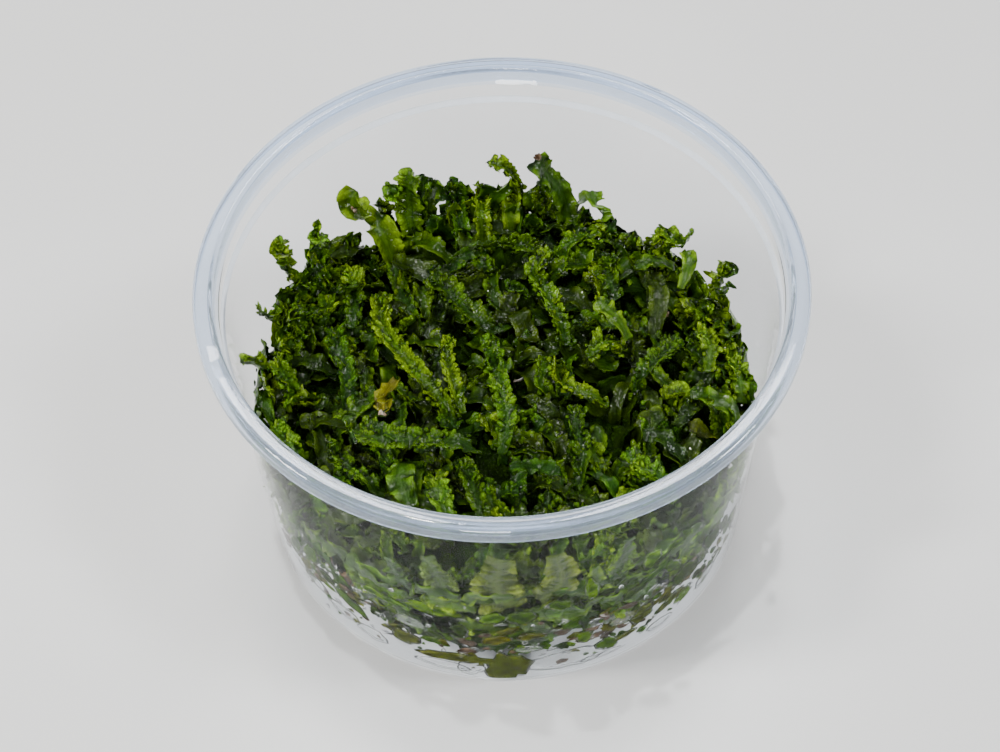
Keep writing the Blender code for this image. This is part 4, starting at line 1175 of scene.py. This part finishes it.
def makeBanks():
    rng, leafRng = np.random.default_rng(57), np.random.default_rng(58)
    parts = []
    for middle, half, high in [look for *look, count in banks for _ in range(count)]:
        off = rng.normal(0, 0.5)
        angle = math.radians(middle + half * off)
        top = high * math.exp(-(off**2)) * rng.uniform(0.45, 1.0)
        out = rng.uniform(0.2, 1) ** 0.7
        width, length = rng.uniform(*bank["width"]), rng.uniform(*bank["length"])
        ground = heapHeight(40 * math.cos(angle), 40 * math.sin(angle)) - 3.0
        z = ground + rng.uniform(0, 1) * max(0.0, top - 6.0)
        climb = math.radians(rng.uniform(*bank["climb"]))
        way = rng.choice([-1, 1])
        depth = 1.2 + width * 0.4 + (1 - out) * 9.0
        turnsDown = min(ground + 3 + top * (0.5 + 0.5 * out), bank["highest"])
        line, _ = climbing(rng, angle, z, climb, int(length) + 1, way, 0.2, lambda angle, z, i: wallRadius(z) - depth,
                           lambda z, rise: z + rise * (1 if z < turnsDown else -0.25))
        tone = pickTone(rng, *bank["tones"]) if out > bank["outerFrom"] else "mature"
        crisp = rng.choice(bank["crisp"])
        parts.append(ribbon(line, width, tone, crisp, rng, "end", step=0.48 if crisp > 0.5 else 0.62, columns=7,
                            flat=False, twist=0.7, facing=-1, dark=0.0))
        if crisp > 0.5 and out > bank["outerFrom"]:
            parts.append(leaflets(parts[-1], width, leafRng, 2.2))
    made = makeObject("bankedThalli", parts, finishList, "packed_thalli")
    print("banks:", len(made.data.polygons), "faces")


makeTangle()
makeBanks()
makeTopLayer()
makeSideLayer()
makeWallLeaves()
makeRimLayer()


scraps = [  # (degrees round the cup, height, width, height, turn in degrees, tone)
    (-91.0, 5.4, 8.6, 10.6, 0, "aged"), (-102.5, 8.0, 15.0, 3.4, 0, "aged"), (-93.3, 16.6, 5.2, 3.0, 10, "aged"),
    (-107.3, 26.0, 12.5, 3.4, -3, "fresh"), (-117.5, 24.2, 6.0, 1.6, -8, "fresh"),
    (-122.0, 25.0, 5.0, 1.8, -10, "fresh"),
    (-101.5, 19.6, 3.0, 3.6, 0, "shaded"), (-107.8, 16.0, 3.6, 2.0, 0, "shaded"),
    (-115.0, 11.4, 4.6, 5.4, -35, "aged"),
    (-129.8, 14.6, 9.0, 3.0, -28, "mature"), (-136.5, 18.0, 4.0, 2.4, -40, "shaded"),
    (-141.0, 22.5, 3.6, 7.4, -20, "mature"),
    (-147.5, 19.6, 3.4, 6.0, -20, "mature"), (-144.2, 15.6, 3.0, 4.6, -25, "aged"),
    (-94.0, 25.4, 5.0, 3.6, 10, "fresh"), (-87.6, 25.6, 5.6, 4.0, 15, "mature"), (-79.0, 28.6, 3.8, 3.6, 0, "mature"),
    (-72.0, 32.0, 2.4, 7.6, 5, "fresh"), (-57.4, 34.0, 4.0, 4.6, 30, "fresh"), (-61.2, 24.4, 6.4, 2.2, 25, "shaded"),
    (-56.0, 27.4, 6.8, 2.4, 30, "mature"), (-45.6, 18.6, 6.6, 6.4, 35, "shaded"),
    (-51.0, 26.0, 3.0, 5.0, 30, "mature"),
    (-37.2, 22.4, 4.4, 6.8, 20, "shaded"), (-40.2, 18.8, 2.0, 2.0, 0, "shaded"),
    (-27.0, 35.0, 2.6, 6.0, 10, "mature"),
    (-31.0, 21.0, 2.0, 4.6, 10, "shaded"), (-58.0, 13.6, 4.8, 5.4, 10, "aged"), (-45.0, 9.4, 4.4, 3.2, 20, "fresh"),
    (-49.5, 11.6, 5.8, 2.6, 25, "aged"), (-73.0, 13.8, 3.4, 3.4, 0, "fresh"), (-67.0, 8.0, 4.0, 4.4, 0, "mature"),
    (-62.5, 8.0, 5.4, 1.2, 10, "aged"), (-57.2, 6.6, 1.6, 1.4, 0, "mature"), (-85.5, 17.6, 5.0, 1.8, 0, "aged"),
]


def outlineOf(width, height, ragged, rng, count=44):  # an uneven closed outline round (0, 0)
    angle = 2 * math.pi * np.arange(count) / count
    uneven = np.ones(count)
    for waves in (2, 3, 5, 8, 13):
        uneven += ragged / waves**0.6 * np.sin(waves * angle + rng.uniform(0, 6.3)) * rng.uniform(0.4, 1)
    return np.stack([width / 2 * uneven * np.cos(angle), height / 2 * uneven * np.sin(angle)], axis=1)


def wallPatch(degrees, height, outline, turn, lift, thickness, rng, rings=4, rimmed=False):
    # a thin closed piece that hugs the inside of the wall; lift is the air between
    spin, middleAngle = math.radians(turn), math.radians(degrees)
    outline = outline @ np.array([[math.cos(spin), math.sin(spin)], [-math.sin(spin), math.cos(spin)]])
    count = len(outline)
    share = np.linspace(0, 1, rings + 1)[1:]
    profile = np.sqrt(1 - share**4)
    if rimmed:
        profile = 0.35 + 0.9 * np.exp(-(((share - 0.86) / 0.12) ** 2))
        profile[-1] = 0
    flat = outline[None] * share[:, None, None]
    bumps = 1 if rimmed else 1 + 0.3 * np.sin(flat[..., 0] * 1.9 + 1) * np.sin(flat[..., 1] * 2.3)
    z = np.clip(height + flat[..., 1], 1.2, 60)
    angle = middleAngle + flat[..., 0] / wallRadius(height)
    radius = wallRadius(z) - lift
    inward = thickness * profile[:, None] * bumps
    inside, outside = (np.stack([reach * np.cos(angle), reach * np.sin(angle), z], axis=-1)
                       for reach in (radius - inward, radius))
    middle = [onCircle(wallRadius(height) - lift - deep, middleAngle, height) for deep in (thickness * profile[0], 0)]
    points = np.vstack([inside.reshape(-1, 3), outside[:-1].reshape(-1, 3), middle])
    size = rings * count
    top = np.arange(size).reshape(rings, count)
    low = np.vstack([size + np.arange(size - count).reshape(rings - 1, count), top[-1:]])
    j = np.arange(count)
    k = (j + 1) % count
    faces = []
    for i in range(rings - 1):
        faces.append(np.stack([top[i, j], top[i + 1, j], top[i + 1, k], top[i, k]], axis=1))
        faces.append(np.stack([low[i, j], low[i, k], low[i + 1, k], low[i + 1, j]], axis=1))
    even = np.arange(0, count, 2)
    first, second, third = even, (even + 1) % count, (even + 2) % count
    centre = np.full(len(even), 2 * size - count)
    faces.append(np.stack([centre, top[0, first], top[0, second], top[0, third]], axis=1))
    faces.append(np.stack([centre + 1, low[0, third], low[0, second], low[0, first]], axis=1))
    edge = np.concatenate([np.repeat(share, count), np.repeat(share[:-1], count), [0, 0]])
    x, z, same = points[:, 0], points[:, 2], np.ones(len(points))
    # the crest values feed the finish's painted light and shade; here as a wavy pattern over the flat patch
    values = {"root": 0 * same, "edge": 0.25 + 0.6 * edge, "crest": 0.5 * np.sin(z * 2.1) * np.sin(x * 1.7),
              "across": edge * np.sin(x), "run": z, "tint": rng.uniform(0.1, 0.6) * same, "knobs": 0.35 * same}
    return {"points": points, "faces": np.vstack(faces)[:, ::-1], "values": values}


crumbs = {"count": 150, "torn": 60, "front": 0.7, "low": 3.0, "high": 24.0, "most": 15.0,
          "tones": (0.16, 0.24, 0.16, 0.0, 0.26, 0.18), "tornTones": (0.05, 0.15, 0.10, 0.0, 0.35, 0.35)}
namedScraps = {"scrap_front": ("wallScrapFront", 0), "scrap_right": ("wallScrapRight", 29),
               "scrap_left": ("wallScrapLeft", 9)}


def aroundFront(rng, share):  # an angle, mostly on the photographed side
    return rng.uniform(-150, -30) if rng.uniform() < share else rng.uniform(-30, 210)


def toned(part, tone):
    return {**part, "material": toneNames.index(tone)}


def makeScraps():
    rng = np.random.default_rng(51)
    parts, wet = [], []
    for degrees, height, wide, tall, turn, tone in scraps:
        outline = outlineOf(wide, tall, 0.4 if tall > 8 else 0.3, rng, 40)
        parts.append(toned(wallPatch(degrees, height, outline, turn, 0.02, 0.5, rng), tone))
        brim = outline[::2] + 0.5 * unit(outline[::2])
        wet.append(wallPatch(degrees, height, brim, turn, 0.06, 0.32, rng, 5, True))
    parts[0]["values"]["tint"][:] = 0.06  # the large one at the bottom is the greener olive
    for name, (title, number) in namedScraps.items():
        makeObject(title, [parts[number]], pressedList, name)
    taken = [number for _, number in namedScraps.values()]
    rest = [part for number, part in enumerate(parts) if number not in taken]
    for _ in range(crumbs["count"]):  # the small bits between the larger ones
        degrees = aroundFront(rng, crumbs["front"])
        height = rng.triangular(crumbs["low"], crumbs["most"], crumbs["high"])
        wide = rng.uniform(0.6, 2.6)
        outline = outlineOf(wide, wide * rng.uniform(0.4, 0.9), 0.3, rng, 16)
        tone = pickTone(rng, *crumbs["tones"])
        rest.append(toned(wallPatch(degrees, height, outline, rng.uniform(-50, 50), 0.06, 0.3, rng, 2), tone))
    for _ in range(crumbs["torn"]):  # torn brown and olive bits in the lower half
        outline = outlineOf(rng.uniform(2.0, 6.0), rng.uniform(1.2, 3.2), 0.45, rng, 24)
        degrees, height = rng.uniform(-160, -20), rng.uniform(9.0, 20.0)
        part = wallPatch(degrees, height, outline, rng.uniform(-40, 40), 0.35, 0.4, rng, 3)
        rest.append(toned(part, pickTone(rng, *crumbs["tornTones"])))
    makeObject("wallScraps", rest, pressedList, "packed_thalli")
    print("wall scraps:", len(parts), "and", crumbs["count"], "crumbs")
    return wet


water = {
    "films": [  # (degrees, height, width, height) of clear patches on the wall with a raised edge
        (-124.5, 6.6, 7.0, 4.6), (-106.5, 4.4, 12.0, 3.0), (-99.6, 4.8, 6.0, 5.0), (-76.5, 6.4, 17.0, 7.4),
        (-133.0, 8.5, 9.0, 3.6), (-36.5, 8.0, 7.0, 4.5), (-52.0, 5.0, 7.0, 3.0), (-63.5, 15.5, 6.5, 4.0),
        (-86.0, 12.6, 5.4, 2.2), (-113.5, 18.6, 7.0, 3.6), (-141.0, 11.0, 6.0, 4.0), (-68.0, 4.0, 9.0, 1.8),
    ],
    "drops": 120,
    "dropSize": (0.4, 1.3),
    "wrinkles": 130,
    "wrinkleLength": (1.0, 3.2),
    "wrinkleHeight": (0.25, 0.6),
    "front": 0.7,  # this share of the wrinkles is on the photographed side
    "tint": (0.97, 0.98, 0.98),
    "shadow": (0.97, 0.98, 0.97),
    "roughness": 0.03,
}


def waterFinish():
    material, tree = newMaterial("water film")
    film = addNode(tree, "ShaderNodeBsdfPrincipled", IOR=wetness["bend"], Roughness=water["roughness"], **{
        "Base Color": water["tint"],
        "Transmission Weight": 1.0,
        "Normal": bumpOf(tree, noiseOf(tree, 700, 2, objectPlace(tree)), 0.35, 0.0004),
    })
    wornClear(tree, film, water["shadow"])
    return material


def makeWater(brims):
    rng = np.random.default_rng(61)
    parts = list(brims)
    for degrees, height, wide, tall in water["films"]:
        parts.append(wallPatch(degrees, height, outlineOf(wide, tall, 0.14, rng, 48), 0, 0.02, 0.22, rng, 7, True))
    for _ in range(water["drops"]):
        size = rng.uniform(*water["dropSize"])
        degrees, height = rng.uniform(-180, 180), rng.uniform(2.5, 30)
        outline = outlineOf(size, size * rng.uniform(0.8, 1.5), 0.08, rng, 12)
        parts.append(wallPatch(degrees, height, outline, 0, 0.01, 0.25 * size, rng, 2))
    for _ in range(water["wrinkles"]):
        degrees, height = aroundFront(rng, water["front"]), rng.uniform(9, 24)
        outline = outlineOf(rng.uniform(*water["wrinkleLength"]), rng.uniform(*water["wrinkleHeight"]), 0.3, rng, 14)
        parts.append(wallPatch(degrees, height, outline, rng.uniform(-45, 45), 0.01, 0.3, rng, 2))
    makeObject("wallWater", parts, [waterFinish()], "packed_thalli")
    print("water:", len(parts), "films and drops")


makeWater(makeScraps())


studio = {
    "floor": (0.75, 0.75, 0.74),
    "floorReach": 3.0,  # metres
    "world": (0.62, 0.66, 0.70),
    "worldStrength": 0.2,
    "lamps": [  # (name, place, size, watts, colour)
        ("backLeftSoftbox", (-0.13, 0.48, 0.85), 0.17, 2.4, (1.0, 0.99, 0.97)),
        ("backRightSoftbox", (0.13, 0.48, 0.85), 0.17, 2.3, (1.0, 0.99, 0.97)),
        ("leftSoftbox", (-0.60, -0.15, 0.50), 0.15, 4.9, (1.0, 0.99, 0.97)),
        ("rightSoftbox", (0.60, -0.10, 0.50), 0.15, 3.4, (0.97, 0.98, 1.0)),
        ("frontSoftbox", (-0.10, -0.80, 0.60), 0.22, 5.3, (1.0, 0.99, 0.97)),
        ("glint", (-0.12, 0.12, 0.85), 0.035, 3.0, (1.0, 1.0, 1.0)),
    ],
}


def makeStudio():
    mesh = bpy.data.meshes.new("floor")
    s = studio["floorReach"]
    mesh.from_pydata([(-s, -s, 0), (s, -s, 0), (s, s, 0), (-s, s, 0)], [], [(0, 1, 2, 3)])
    floor = linked("floor", mesh)
    material, tree = newMaterial("pale floor")
    worn(tree, addNode(tree, "ShaderNodeBsdfPrincipled", Roughness=0.7, **{"Base Color": studio["floor"]}))
    mesh.materials.append(material)
    floor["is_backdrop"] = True
    world = bpy.data.worlds.new("soft light")
    world.use_nodes = True
    background = world.node_tree.nodes["Background"]
    background.inputs["Color"].default_value = (*studio["world"], 1)
    background.inputs["Strength"].default_value = studio["worldStrength"]
    bpy.context.scene.world = world
    for name, place, size, watts, colour in studio["lamps"]:
        lamp = bpy.data.lights.new(name, "AREA")
        lamp.size, lamp.energy, lamp.color = size, watts, colour
        holder = linked(name, lamp)
        holder.location = place
        holder.rotation_mode = "QUATERNION"
        holder.rotation_quaternion = (Vector(place) - Vector((0, 0, 0.04))).to_track_quat("Z", "Y")


camera = {  # metres; the cup is seen from the front and above
    "sensor": 36.0,
    "lens": 129.6,
    "place": (0, -0.43706, 0.5945),
    "right": (0.9997, -0.0200, -0.0171),
    "back": (0.0011, -0.617, 0.787),
}


def makeCamera():
    lens = bpy.data.cameras.new("camera")
    lens.sensor_width, lens.lens = camera["sensor"], camera["lens"]
    holder = linked("camera", lens)
    right, back = Vector(camera["right"]).normalized(), Vector(camera["back"]).normalized()
    up = back.cross(right).normalized()
    turn = Matrix((up.cross(back), up, back)).transposed().to_4x4()
    holder.matrix_world = Matrix.Translation(camera["place"]) @ turn
    bpy.context.scene.camera = holder


makeStudio()
makeCamera()
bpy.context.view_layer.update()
total = sum(len(p.vertices) - 2 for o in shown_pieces() if o.type == "MESH" for p in o.data.polygons)
print("triangles:", total)
